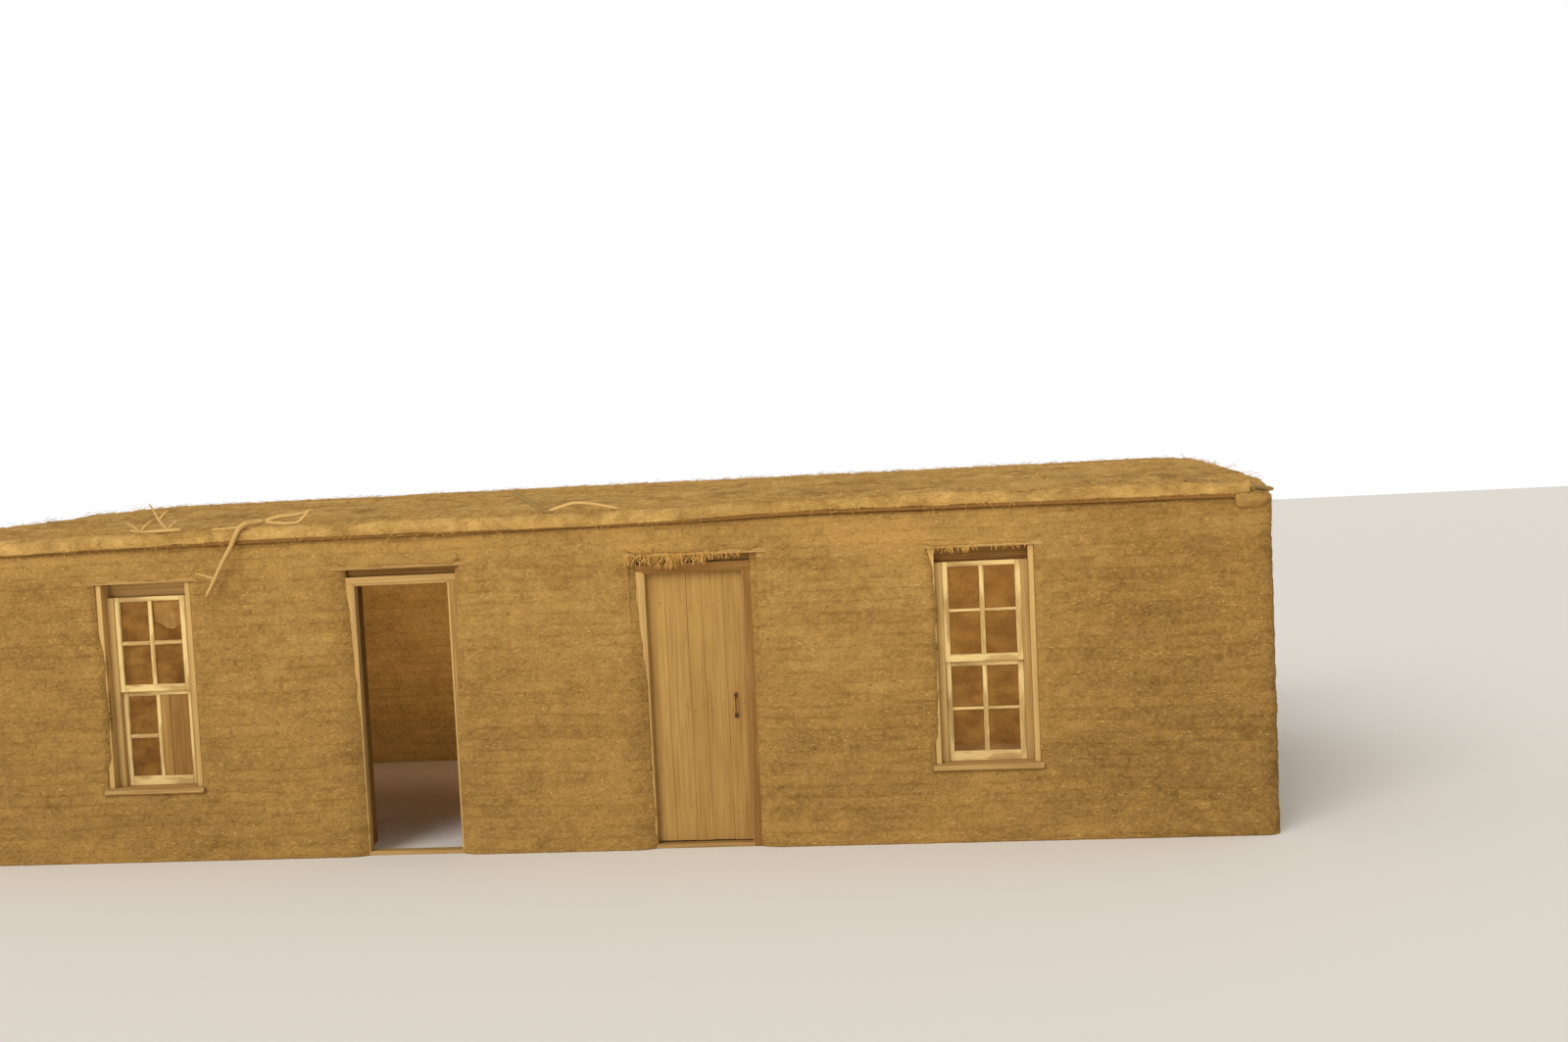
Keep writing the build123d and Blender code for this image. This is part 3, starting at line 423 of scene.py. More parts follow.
def make_materials():
    """Every finish of the house, kept by a short name for the operators."""
    scene = bpy.context.scene
    walls, roof, timber = scene.turf_house_walls, scene.turf_house_roof, scene.turf_house_timber
    plank_dark = timber.plank_dark
    log_dark = [c * 0.4 for c in timber.log_bark]
    for key, name, recipe, *choices in (
        ("cut_turf", "cut_turf", cut_turf),
        ("grass_turf", "grass_turf", grass_turf),
        ("root", "dry_root", dry_stems, walls.root),
        ("straw", "dry_grass", dry_stems, roof.straw),
        # Painted light: the roots that hang over the openings are a paler copy of the other roots, as if in
        # full sun
        ("fringe", "sunlit_root", dry_stems, linear("EEBE68")),
        ("plank", "weathered_cottonwood", sawn_wood, timber.plank_light, plank_dark),
        ("door", "weathered_pine", sawn_wood, timber.door_light, plank_dark, None, 0.8),
        ("sash", "painted_pine", sawn_wood, timber.plank_light, plank_dark, timber.sash_paint),
        ("log", "peeled_log", sawn_wood, timber.log_bark, log_dark),
        ("rough", "rough_sawn_cottonwood", rough_timber, timber.log_bark, log_dark),
        ("iron", "wrought_iron", wrought_iron),
        ("glass", "cylinder_glass", cylinder_glass),
        ("muslin", "cotton_muslin", cotton_muslin),
        ("branch", "dead_wood", dead_wood),
    ):
        materials[key] = material_from(name, recipe, *choices)


# Meshes

def attach(piece, body, slot, *nodes):
    """Let a finished piece ride on its body and hide the nodes that it stands for. The slot is not used."""
    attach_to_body(piece, body)
    if nodes:
        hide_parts(*nodes)


def object_from(name, vertices, faces, material=None):
    """A linked object at the origin from points and faces."""
    mesh = bpy.data.meshes.new(name)
    mesh.from_pydata([tuple(v) for v in vertices], [], faces)
    mesh.update()
    if material is not None:
        mesh.materials.append(material)
    piece = bpy.data.objects.new(name, mesh)
    bpy.context.scene.collection.objects.link(piece)
    return piece


def store_values(mesh, **fields):
    """Keep numbers or vectors, one for each point of a mesh, as named attributes."""
    for name, values in fields.items():
        numbers = np.asarray(values, float)
        is_vector = numbers.ndim == 2
        layer = mesh.attributes.new(name, "FLOAT_VECTOR" if is_vector else "FLOAT", "POINT")
        layer.data.foreach_set("vector" if is_vector else "value", numbers.ravel())


def tube_faces(first, rings, count):
    """Faces of a closed tube of rings with count points each: its sides, then its two ends."""
    faces = []
    for low in range(first, first + (rings - 1) * count, count):
        for place in range(count):
            after = (place + 1) % count
            faces.append((low + place, low + after, low + count + after, low + count + place))
    last = first + (rings - 1) * count
    return faces + [tuple(reversed(range(first, first + count))), tuple(range(last, last + count))]


def grow(piece, tree, values):
    """Run a geometry node tree on a piece with its named inputs, and keep the result as a plain mesh."""
    modifier = piece.modifiers.new("grow", "NODES")
    modifier.node_group = tree
    for item in tree.interface.items_tree:
        if item.item_type == "SOCKET" and item.in_out == "INPUT" and item.name in values:
            modifier[item.identifier] = values[item.name]
    graph = bpy.context.evaluated_depsgraph_get()
    mesh = bpy.data.meshes.new_from_object(piece.evaluated_get(graph), depsgraph=graph)
    piece.modifiers.remove(modifier)
    piece.data = mesh
    return piece


def new_tree(name, numbers, **others):
    """A geometry node tree and the outputs of its input node, by name: the geometry, numbers with their
    defaults, and inputs of other kinds."""
    tree = bpy.data.node_groups.new(name, "GeometryNodeTree")
    tree.interface.new_socket("Geometry", in_out="INPUT", socket_type="NodeSocketGeometry")
    for socket_name, value in numbers.items():
        socket = tree.interface.new_socket(socket_name, in_out="INPUT", socket_type="NodeSocketFloat")
        socket.default_value = value
    for kind, names in others.items():
        for socket_name in names:
            tree.interface.new_socket(socket_name, in_out="INPUT", socket_type="NodeSocket" + kind)
    tree.interface.new_socket("Geometry", in_out="OUTPUT", socket_type="NodeSocketGeometry")
    return tree, add(tree, "NodeGroupInput").outputs


def finish_tree(tree, given, geometry):
    """End a tree in Realize Instances and Set Material."""
    real = add(tree, "GeometryNodeRealizeInstances", (geometry,))
    painted = add(tree, "GeometryNodeSetMaterial", {"Geometry": real, "Material": given["Material"]})
    add(tree, "NodeGroupOutput", (painted,))
    return tree


def sod_pattern(tree, place, around, rise, course_height, sod_length, seed):
    """Courses of sods, for a geometry tree or a material: the distance to the nearest joint in metres,
    a broad noise that says where joints are open, and a random number for each sod."""
    # Courses that wander up and down, and rows of sods that start at random places
    wander, ragged, warp, breaks = [
        add(tree, "ShaderNodeTexNoise", {"Vector": place, "Scale": scale, "Detail": detail})
        for scale, detail in ((1.1, 2.0), (13.0, 3.0), (9.0, 2.0), (3.4, 3.0))]
    shifted = weighted(tree, rise, (weighted(tree, wander, (ragged, 0.45)), course_height))
    course = add(tree, "ShaderNodeMath", (shifted, course_height), operation="DIVIDE")
    row = add(tree, "ShaderNodeMath", (course,), operation="FLOOR")
    row_seed = add(tree, "ShaderNodeMath", (row, seed), operation="ADD")
    start = add(tree, "ShaderNodeTexWhiteNoise", {"W": row_seed}, noise_dimensions="1D").outputs["Value"]
    along = add(tree, "ShaderNodeMath", (around, sod_length), operation="DIVIDE")
    along_row = weighted(tree, along, (warp, 0.16), (start, 5.0))
    column = add(tree, "ShaderNodeMath", (along_row,), operation="FLOOR")
    sod_place = add(tree, "ShaderNodeCombineXYZ", (row, column, seed))
    sod = add(tree, "ShaderNodeTexWhiteNoise", {"Vector": sod_place}, noise_dimensions="3D").outputs["Value"]
    gaps = []
    for steps, size in ((course, course_height), (along_row, sod_length)):
        inside = add(tree, "ShaderNodeMath", (steps,), operation="FRACT")
        side = add(tree, "ShaderNodeMath", (inside, 0.5), operation="PINGPONG")
        gaps.append(add(tree, "ShaderNodeMath", (side, size), operation="MULTIPLY"))
    return add(tree, "ShaderNodeMath", gaps, operation="MINIMUM"), breaks, sod


def sod_relief_tree():
    """Turns a smooth skin into courses of cut sods. The skin gives, for each point, its place around
    and up the courses, its outward direction, how far it may move (hold) and how far it is sunk."""
    tree, given = new_tree("sod relief", {
        "Course Height": 0.08, "Sod Length": 0.6, "Joint Width": 0.012, "Joint Depth": 0.009, "Proud": 0.012,
        "Unevenness": 0.006, "Lumps": 0.01, "Crumbs": 0.004, "Crumb Size": 0.03, "Pock Depth": 0.012,
        "Lowest": 0.0, "Highest": 0.024, "Broken Joints": 0.5, "Joint Shade": 0.4,
    }, Int=["Seed"], Material=["Material"])
    place = add(tree, "GeometryNodeInputPosition").outputs[0]
    around, rise, hold, sink = [
        add(tree, "GeometryNodeInputNamedAttribute", {"Name": name}, data_type="FLOAT")
        for name in ("around", "rise", "hold", "sink")]
    outward = add(tree, "GeometryNodeInputNamedAttribute", {"Name": "outward"}, data_type="FLOAT_VECTOR")
    gap, breaks, sod = sod_pattern(
        tree, place, around, rise, given["Course Height"], given["Sod Length"], given["Seed"])
    joint = add(tree, "ShaderNodeMapRange", (gap, given["Joint Width"], 0.0), interpolation_type="SMOOTHSTEP")
    open_joint = add(tree, "ShaderNodeMath", (breaks, given["Broken Joints"]), operation="SUBTRACT")
    strength = add(tree, "ShaderNodeMapRange", (open_joint, -0.06, 0.12))
    joint = add(tree, "ShaderNodeMath", (joint, strength), operation="MULTIPLY")
    # Pocks where crumbs have fallen out: in the cells whose chance is high enough
    chosen = 0.62
    holes = add(tree, "ShaderNodeTexVoronoi", {"Vector": place, "Scale": 7.0})
    chance = add(tree, "ShaderNodeSeparateXYZ", (holes.outputs["Color"],)).outputs["X"]
    radius = add(tree, "ShaderNodeMapRange", (chance, chosen, 1.0, 0.0, 0.14))
    pock = add(tree, "ShaderNodeMapRange", (holes.outputs["Distance"], radius, 0.0),
               interpolation_type="SMOOTHSTEP")
    has_pock = add(tree, "ShaderNodeMath", (chance, chosen), operation="GREATER_THAN")
    pock = add(tree, "ShaderNodeMath", (pock, has_pock), operation="MULTIPLY")
    lumps = add(tree, "ShaderNodeTexNoise", {"Vector": place, "Scale": 7.0, "Detail": 5.0, "Roughness": 0.55})
    crumb_scale = add(tree, "ShaderNodeMath", (1.0, given["Crumb Size"]), operation="DIVIDE")
    crumbs = add(tree, "ShaderNodeTexNoise", {"Vector": place, "Scale": crumb_scale, "Detail": 2.0})
    # Everything added up, then kept between the lowest and highest that there is room for
    total = given["Proud"]
    for field, amount in ((sod, "Unevenness"), (lumps, "Lumps"), (crumbs, "Crumbs")):
        centred = add(tree, "ShaderNodeMath", (field, 0.5), operation="SUBTRACT")
        total = weighted(tree, total, (centred, given[amount]))
    for field, amount in ((joint, "Joint Depth"), (pock, "Pock Depth")):
        inward = add(tree, "ShaderNodeMath", (field, -1.0), operation="MULTIPLY")
        total = weighted(tree, total, (inward, given[amount]))
    for operation, value in (("MAXIMUM", given["Lowest"]), ("MINIMUM", given["Highest"]), ("MULTIPLY", hold),
                             ("SUBTRACT", sink)):
        total = add(tree, "ShaderNodeMath", (total, value), operation=operation)
    offset = add(tree, "ShaderNodeVectorMath", {0: outward, "Scale": total}, operation="SCALE")
    shaped = add(tree, "GeometryNodeSetPosition", {"Geometry": given["Geometry"], "Offset": offset})
    # Painted shade: the joints and pocks, which the mesh already sinks, are also stored as an attribute that
    # the turf materials darken, for the shade that falls in them
    hollow_shade = joint
    for operation, value in (("MULTIPLY", given["Joint Shade"]), ("MAXIMUM", pock), ("MULTIPLY", hold)):
        hollow_shade = add(tree, "ShaderNodeMath", (hollow_shade, value), operation=operation)
    for name, value in (("crevice_shade", hollow_shade), ("sod", sod)):
        shaped = add(tree, "GeometryNodeStoreNamedAttribute", {
            "Geometry": shaped, "Name": name, "Value": value}, data_type="FLOAT", domain="POINT")
    return finish_tree(tree, given, shaped)


def strewn_points(tree, given, *factors):
    """Random points on the piece, as dense as its straw attribute times the factors."""
    weight = add(tree, "GeometryNodeInputNamedAttribute", {"Name": "straw"}, data_type="FLOAT")
    for factor in factors:
        weight = add(tree, "ShaderNodeMath", (weight, factor), operation="MULTIPLY")
    return add(tree, "GeometryNodeDistributePointsOnFaces", {
        "Mesh": given["Geometry"], "Density": weight, "Seed": given["Seed"]}, distribute_method="RANDOM")


def pressed_inside(tree, given, stems):
    """Press tips that would pass the house's outline back against it."""
    stems = add(tree, "GeometryNodeRealizeInstances", (stems,))
    place = add(tree, "GeometryNodeInputPosition")
    for operation, corner in (("MAXIMUM", "Lowest Corner"), ("MINIMUM", "Highest Corner")):
        place = add(tree, "ShaderNodeVectorMath", (place, given[corner]), operation=operation)
    return add(tree, "GeometryNodeSetPosition", {"Geometry": stems, "Position": place})


def stem_tree():
    """Scatters bent, tapering stems over a surface, thickest where its straw attribute is high."""
    tree, given = new_tree("strewn stems", {
        "Density": 100.0, "Longest": 0.05, "Thickness": 0.0012, "Swing": 1.2, "Least Lift": 0.1,
        "Most Lift": 0.6,
    }, Int=["Seed"], Vector=["Lie", "Lowest Corner", "Highest Corner"], Material=["Material"])
    points = strewn_points(tree, given, given["Density"])
    # One stem of unit length along X, bent a little and tapering to its tip
    line = add(tree, "GeometryNodeCurveQuadraticBezier", {
        "Resolution": 3, "Start": (0, 0, 0), "Middle": (0.5, 0, 0.12), "End": (1, 0, -0.05)})
    along = add(tree, "GeometryNodeSplineParameter").outputs["Factor"]
    taper = add(tree, "ShaderNodeMapRange", (along, 0.0, 1.0, 1.0, 0.25))
    tapered = add(tree, "GeometryNodeSetCurveRadius", {"Curve": line, "Radius": taper})
    section = add(tree, "GeometryNodeCurvePrimitiveCircle", {"Resolution": 3, "Radius": given["Thickness"]})
    # The stem is scaled by its length later, so its section is widened to match
    widen = add(tree, "ShaderNodeMath", (1.0, given["Longest"]), operation="DIVIDE")
    wide = add(tree, "ShaderNodeCombineXYZ", (widen, widen, 1.0))
    section = add(tree, "GeometryNodeTransform", {"Geometry": section, "Scale": wide})
    stem = add(tree, "GeometryNodeCurveToMesh", {
        "Curve": tapered, "Profile Curve": section, "Fill Caps": True})
    aimed = add(tree, "FunctionNodeAlignRotationToVector", {"Vector": given["Lie"]}, axis="X")
    aimed = add(tree, "FunctionNodeAlignRotationToVector", {
        "Rotation": aimed, "Vector": points.outputs["Normal"]}, axis="Z", pivot_axis="X")
    other_way = add(tree, "ShaderNodeMath", (given["Swing"], -1.0), operation="MULTIPLY")
    index = add(tree, "GeometryNodeInputIndex")
    swing, lift, length = [
        add(tree, "FunctionNodeRandomValue", {"Min": low, "Max": high, "ID": index, "Seed": seed},
            data_type="FLOAT")
        for low, high, seed in (
            (other_way, given["Swing"], 1), (given["Least Lift"], given["Most Lift"], 2), (0.3, 1.0, 3))]
    drop = add(tree, "ShaderNodeMath", (lift, -1.0), operation="MULTIPLY")
    turn = add(tree, "FunctionNodeEulerToRotation", (
        add(tree, "ShaderNodeCombineXYZ", {"Y": drop, "Z": swing}),))
    turned = add(tree, "FunctionNodeRotateRotation", {"Rotation": aimed, "Rotate By": turn},
                 rotation_space="LOCAL")
    scale = add(tree, "ShaderNodeMath", (length, given["Longest"]), operation="MULTIPLY")
    stems = add(tree, "GeometryNodeInstanceOnPoints", {
        "Points": points.outputs["Points"], "Instance": stem, "Rotation": turned, "Scale": scale})
    return finish_tree(tree, given, pressed_inside(tree, given, stems))


def tuft_tree():
    """Sets bunches of short dry blades on a surface, in patches, each turned and sized by itself."""
    tree, given = new_tree("grass tufts", {
        "Density": 20.0, "Blade": 0.09, "Blade Width": 0.004, "Spread": 0.018,
    }, Int=["Seed"], Vector=["Lowest Corner", "Highest Corner"], Material=["Material"])
    place = add(tree, "GeometryNodeInputPosition").outputs[0]
    patches = add(tree, "ShaderNodeTexNoise", {"Vector": place, "Scale": 2.2, "Detail": 3.0})
    patch = add(tree, "ShaderNodeMapRange", (patches, 0.42, 0.62))
    points = strewn_points(tree, given, given["Density"], patch)
    ring = add(tree, "GeometryNodeMeshCircle", {"Vertices": 9, "Radius": given["Spread"]})
    blade = add(tree, "GeometryNodeMeshCone", {
        "Vertices": 3, "Radius Top": 0.0, "Radius Bottom": given["Blade Width"], "Depth": given["Blade"]})
    upright = add(tree, "ShaderNodeCombineXYZ", {"Z": given["Spread"]})
    lean = add(tree, "ShaderNodeVectorMath", (place, upright), operation="ADD")
    facing = add(tree, "FunctionNodeAlignRotationToVector", {"Vector": lean}, axis="Z")
    index = add(tree, "GeometryNodeInputIndex")
    length, spin, size = [
        add(tree, "FunctionNodeRandomValue", {"Min": low, "Max": high, "ID": index, "Seed": seed},
            data_type="FLOAT")
        for low, high, seed in ((0.45, 1.0, 4), (0.0, 2 * math.pi, 5), (0.4, 1.0, 6))]
    bunch = add(tree, "GeometryNodeInstanceOnPoints", {
        "Points": ring, "Instance": blade, "Rotation": facing, "Scale": length})
    bunch = add(tree, "GeometryNodeRealizeInstances", (bunch,))
    turn = add(tree, "FunctionNodeEulerToRotation", (add(tree, "ShaderNodeCombineXYZ", {"Z": spin}),))
    tufts = add(tree, "GeometryNodeInstanceOnPoints", {
        "Points": points.outputs["Points"], "Instance": bunch, "Rotation": turn, "Scale": size})
    return finish_tree(tree, given, pressed_inside(tree, given, tufts))


def nail_tree():
    """Sets a low domed nail head on each point, facing the way that its outward attribute says."""
    tree, given = new_tree("nail heads", {"Radius": 0.004, "Height": 0.0016}, Material=["Material"])
    outward = add(tree, "GeometryNodeInputNamedAttribute", {"Name": "outward"}, data_type="FLOAT_VECTOR")
    head = add(tree, "GeometryNodeMeshUVSphere", {"Segments": 8, "Rings": 4, "Radius": 1.0})
    low_dome = add(tree, "ShaderNodeCombineXYZ", (given["Radius"], given["Radius"], given["Height"]))
    head = add(tree, "GeometryNodeTransform", {"Geometry": head, "Scale": low_dome})
    facing = add(tree, "FunctionNodeAlignRotationToVector", {"Vector": outward}, axis="Z")
    heads = add(tree, "GeometryNodeInstanceOnPoints", {
        "Points": given["Geometry"], "Instance": head, "Rotation": facing})
    return finish_tree(tree, given, heads)


trees = {}


def make_trees():
    """The node trees that the operators share."""
    trees.update(sods=sod_relief_tree(), stems=stem_tree(), tufts=tuft_tree(), nails=nail_tree())


class Store:
    """Gathers lofted rings of points into one closed-part mesh, with a grain place and a tone for
    each point, so that every board keeps its own grain."""

    def __init__(self, seed):
        self.vertices, self.faces, self.grain, self.tone, self.smooth = [], [], [], [], []
        self.chance = random.Random(seed)

    def rings(self, rings, along, centres, smooth=False, tone=None):
        """Loft closed rings of points. along is each ring's distance, centres each ring's middle,
        and tone how light the board is: 0 is dark, 1 is bleached. Mostly that is weathering, but on some
        frame boards and the eave planks the tone is painted shade or painted light."""
        count = len(rings[0])
        self.faces += tube_faces(len(self.vertices), len(rings), count)
        self.smooth += [smooth] * ((len(rings) - 1) * count) + [False, False]
        shift = self.chance.uniform(0, 40)
        tone = self.chance.uniform(0.35, 0.65) if tone is None else tone
        for ring, distance, centre in zip(rings, along, centres):
            for point in ring:
                local = Vector(point) - Vector(centre)
                self.vertices.append(tuple(point))
                self.grain.append((distance + shift, local.x + local.z + shift, local.y - local.z + local.x))
                self.tone.append(tone)

    def board(self, low, high, axis, bevel, stations=5, warp=0.0012, tone=None):
        """A sawn board between two corners, with worn edges and a slight warp along its axis."""
        low, high = Vector(low), Vector(high)
        side, up = [other for other in range(3) if other != axis]
        length = high[axis] - low[axis]
        bevel = min(bevel, (high[side] - low[side]) * 0.3, (high[up] - low[up]) * 0.3, length * 0.2)
        stops = [0.0, bevel] + [length * k / stations for k in range(1, stations)] + [length - bevel, length]
        seed = self.chance.uniform(0, 100)
        rings, centres = [], []
        for number, stop in enumerate(stops):
            inset = bevel if number in (0, len(stops) - 1) else 0.0
            bend = noise.noise_vector((seed, stop * 1.3, 0.0)) * warp
            ring = []
            a0, a1 = low[side] + inset, high[side] - inset
            b0, b1 = low[up] + inset, high[up] - inset
            cut = bevel * (0.5 if inset else 1.0)
            corners = [(a0 + cut, b0), (a1 - cut, b0), (a1, b0 + cut), (a1, b1 - cut),
                       (a1 - cut, b1), (a0 + cut, b1), (a0, b1 - cut), (a0, b0 + cut)]
            for a, b in corners:
                point = Vector((0.0, 0.0, 0.0))
                point[axis] = low[axis] + stop
                point[side] = min(max(a + bend.x, low[side]), high[side])
                point[up] = min(max(b + bend.y, low[up]), high[up])
                ring.append(point)
            rings.append(ring)
            centre = (low + high) / 2
            centre[axis] = low[axis] + stop
            centres.append(centre)
        self.rings(rings, stops, centres, False, tone)

    def limb(self, points, radii, sides=10, knobs=0.0, seed=0.0, tone=None):
        """A round limb along a smooth line through points, its radius running between radii."""
        line = smooth_line([Vector(p) for p in points])
        total = [0.0]
        for before, after in zip(line, line[1:]):
            total.append(total[-1] + (after - before).length)
        rings = []
        for number, (place, distance) in enumerate(zip(line, total)):
            ahead = line[min(number + 1, len(line) - 1)] - line[max(number - 1, 0)]
            forward = ahead.normalized()
            aside = Vector((0.0, 1.0, 0.0)) if abs(forward.y) < 0.8 else Vector((1.0, 0.0, 0.0))
            across = forward.cross(aside)
            across.normalize()
            over = forward.cross(across)
            share = distance / total[-1]
            radius = radii[0] + (radii[1] - radii[0]) * share
            if number in (0, len(line) - 1):
                radius *= 0.55
            ring = []
            for place_number in range(sides):
                turn = 2 * math.pi * place_number / sides
                direction = across * math.cos(turn) + over * math.sin(turn)
                swell = 1 + knobs * noise.noise(Vector((distance * 22, seed, 0)) + direction * 1.3)
                ring.append(place + direction * radius * swell)
            rings.append(ring)
        self.rings(rings, total, line, True, tone)

    def bend(self, function):
        """Move every point by a function of its place."""
        self.vertices = [function(*point) for point in self.vertices]

    def finish(self, name, material, body, slot, *nodes):
        """The gathered rings as one attached piece."""
        piece = object_from(name, self.vertices, self.faces, materials[material])
        store_values(piece.data, grain=self.grain, tone=self.tone)
        piece.data.polygons.foreach_set("use_smooth", self.smooth)
        close_outward(piece)
        attach(piece, body, slot, *nodes)


def close_outward(piece):
    """Turn all faces of closed shells outward."""
    shell = bmesh.new()
    shell.from_mesh(piece.data)
    bmesh.ops.recalc_face_normals(shell, faces=shell.faces)
    shell.to_mesh(piece.data)
    shell.free()
    piece.data.update()


def smooth_line(points, steps=4):
    """Points along a rounded line through the given ones."""
    ends = [points[0] * 2 - points[1]] + points + [points[-1] * 2 - points[-2]]
    line = []
    for a, b, c, d in zip(ends, ends[1:], ends[2:], ends[3:]):
        for step in range(steps):
            t = step / steps
            line.append(0.5 * ((2 * b) + (c - a) * t + (2 * a - 5 * b + 4 * c - d) * t * t
                               + (3 * b - a - 3 * c + d) * t * t * t))
    return line + [points[-1]]


def nails(name, body, places, outward, radius=4 * MM):
    """Nail heads at the given places, all facing one way."""
    piece = object_from(name, places, [])
    store_values(piece.data, outward=[outward] * len(places))
    grow(piece, trees["nails"], {"Radius": radius, "Height": radius * 0.4, "Material": materials["iron"]})
    attach(piece, body, "iron")


def paint_nodes(material, *names):
    """Give frame pieces whose shape is right their finish."""
    for name in names:
        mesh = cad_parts[name].data
        mesh.materials.clear()
        mesh.materials.append(materials[material])


# Walls

STRAIGHT = HALF_LENGTH - CORNER_RADIUS
END_STRAIGHT = (BACK - FRONT) / 2 - CORNER_RADIUS
ARC = math.pi / 2 * CORNER_RADIUS


def around_house(distance):
    """Places and outward directions on the walls' outer faces, by distance from the front's middle."""
    straight, end, arc = ("line", STRAIGHT), ("line", 2 * END_STRAIGHT), ("arc", ARC)
    runs = [straight, arc, end, arc, straight, straight, arc, end, arc, straight]
    total = sum(length for kind, length in runs)
    left = distance % total
    place = Vector((0.0, FRONT))
    heading = 0.0
    for kind, length in runs:
        step = min(left, length)
        forward = Vector((math.cos(heading), math.sin(heading)))
        outward = Vector((forward.y, -forward.x))
        if kind == "line":
            if left <= length:
                return place + forward * step, outward
            place = place + forward * length
        else:
            middle = place - outward * CORNER_RADIUS
            turn = step / CORNER_RADIUS
            now = Vector((math.sin(heading + turn), -math.cos(heading + turn)))
            if left <= length:
                return middle + now * CORNER_RADIUS, now
            heading += math.pi / 2
            place = middle + now * CORNER_RADIUS
        left -= length
    return place, outward


def grid_lines(stops, spacing):
    """Evenly spread lines between each two stops, no further apart than the spacing."""
    lines = []
    for low, high in zip(stops, stops[1:]):
        lines += between(low, high, max(1, math.ceil((high - low) / spacing)))[:-1]
    return lines + [stops[-1]]


LINTEL_SHOWN = 16 * MM
DROOP_AT_WALL = 0.7
MEETS_PLANK = 7 * MM
FRONT_TOP_ROUND = 10 * MM
REAR_TOP_ROUND = 30 * MM
CREEP_REACH = 0.22


class Opening:
    """An opening in the front turf. creep_left and creep_right give how far the turf has crept in over
    its sides, in metres, at heights from the ground up; a negative one has fallen back."""

    def __init__(self, left, right, foot, head, arris, round_off, creep_left, creep_right):
        self.left, self.right, self.foot, self.head = left, right, foot, head + LINTEL_SHOWN
        self.arris, self.round_off = arris, round_off
        self.creep_left, self.creep_right = creep_left, creep_right

    def shift(self, s, z):
        """How far a point of the wall's skin moves along it with the crept turf."""
        fade = min(1.0, *(max(0.0, 1 - past / CREEP_REACH) for past in (z - self.head, self.foot - z)))
        moved = 0.0
        for edge, side, creep in ((self.left, 1, self.creep_left), (self.right, -1, self.creep_right)):
            heights, amounts = zip(*creep)
            nearness = 1 - abs(s - edge) / (CREEP_REACH + max(amounts))
            if nearness > 0 and fade > 0:
                ragged = 9 * MM * noise.noise(Vector((edge * 3, side, z * 9)))
                ragged += 4 * MM * noise.noise(Vector((edge * 5, side, z * 31)))
                moved += side * (float(np.interp(z, heights, amounts)) + ragged) * fade * eased(nearness)
        return moved

    def nearest(self, s, z):
        """Distance to the opening. Its head isn't rounded back: the sods there end on the lintel."""
        side = max(self.left - s, s - self.right)
        over = max(self.foot - z, z - self.head)
        reach = max(side, over) if min(side, over) < 0 else math.hypot(max(side, 0), max(over, 0))
        if z - self.head > side:
            reach += self.round_off * 0.7
        return max(reach, 0.0)

    def holds(self, s, z):
        """Whether a place lies in the opening."""
        return self.left < s < self.right and self.foot < z < self.head


def front_openings():
    """The front wall's openings. The turf has crept over the door frames and, less far, over the
    windows' left jambs. Amounts are in millimetres, at heights in metres."""
    openings = []
    still = ((0.0, 0.0), (EAVE_HEIGHT, 0.0))
    for side, creep in (
        ("left", ((0.66, 0), (0.78, 34), (1.2, 44), (1.58, 38), (1.7, 8), (2.08, 0))),
        ("right", ((0.66, 0), (0.78, 30), (1.2, 40), (1.7, 46), (1.95, 34), (2.08, 10))),
    ):
        low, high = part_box("window_frame_" + side)
        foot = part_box("window_sill_" + side)[0].z
        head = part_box("window_lintel_" + side)[0].z
        over_jamb = [(z, amount * MM) for z, amount in creep]
        openings.append(Opening(low.x, high.x, foot, head, 25 * MM, 55 * MM, over_jamb, still))
    for name, recesses, *sides in (
        ("doorway", (80 * MM, 35 * MM),
         ((0.0, 64), (0.9, 62), (1.05, 52), (1.5, 36), (1.78, 26), (1.92, 16), (2.1, 8)),
         ((0.0, 62), (0.9, 56), (1.2, 36), (1.6, 16), (1.9, 2), (2.1, -12))),
        ("door", (35 * MM, 50 * MM),
         ((0.0, 63), (1.2, 58), (1.45, 36), (1.65, 18), (1.88, 12), (2.1, 4)),
         ((0.0, 10), (0.9, -5), (1.4, -26), (2.1, -34))),
    ):
        low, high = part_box(name + "_frame")
        creeps = [[(z, recess + amount * MM) for z, amount in side] for side, recess in zip(sides, recesses)]
        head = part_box(name + "_lintel")[0].z
        openings.append(Opening(low.x - recesses[0], high.x + recesses[1], 0.0, head, 46 * MM, 0.13, *creeps))
    return openings


def top_course(s, z):
    """How far the front's uppermost course stands out over the wall below, with a ragged foot."""
    foot = EAVE_HEIGHT - 0.225 + 0.018 * noise.noise(Vector((s * 2.1, 0.0, 5.0)))
    foot += 0.012 * noise.noise(Vector((s * 8.0, 0.0, 6.0)))
    strong = max(0.3, 1 - ((s - 0.1) / 1.2) ** 2)
    return 14 * MM * strong * eased((z - foot) / 0.022)


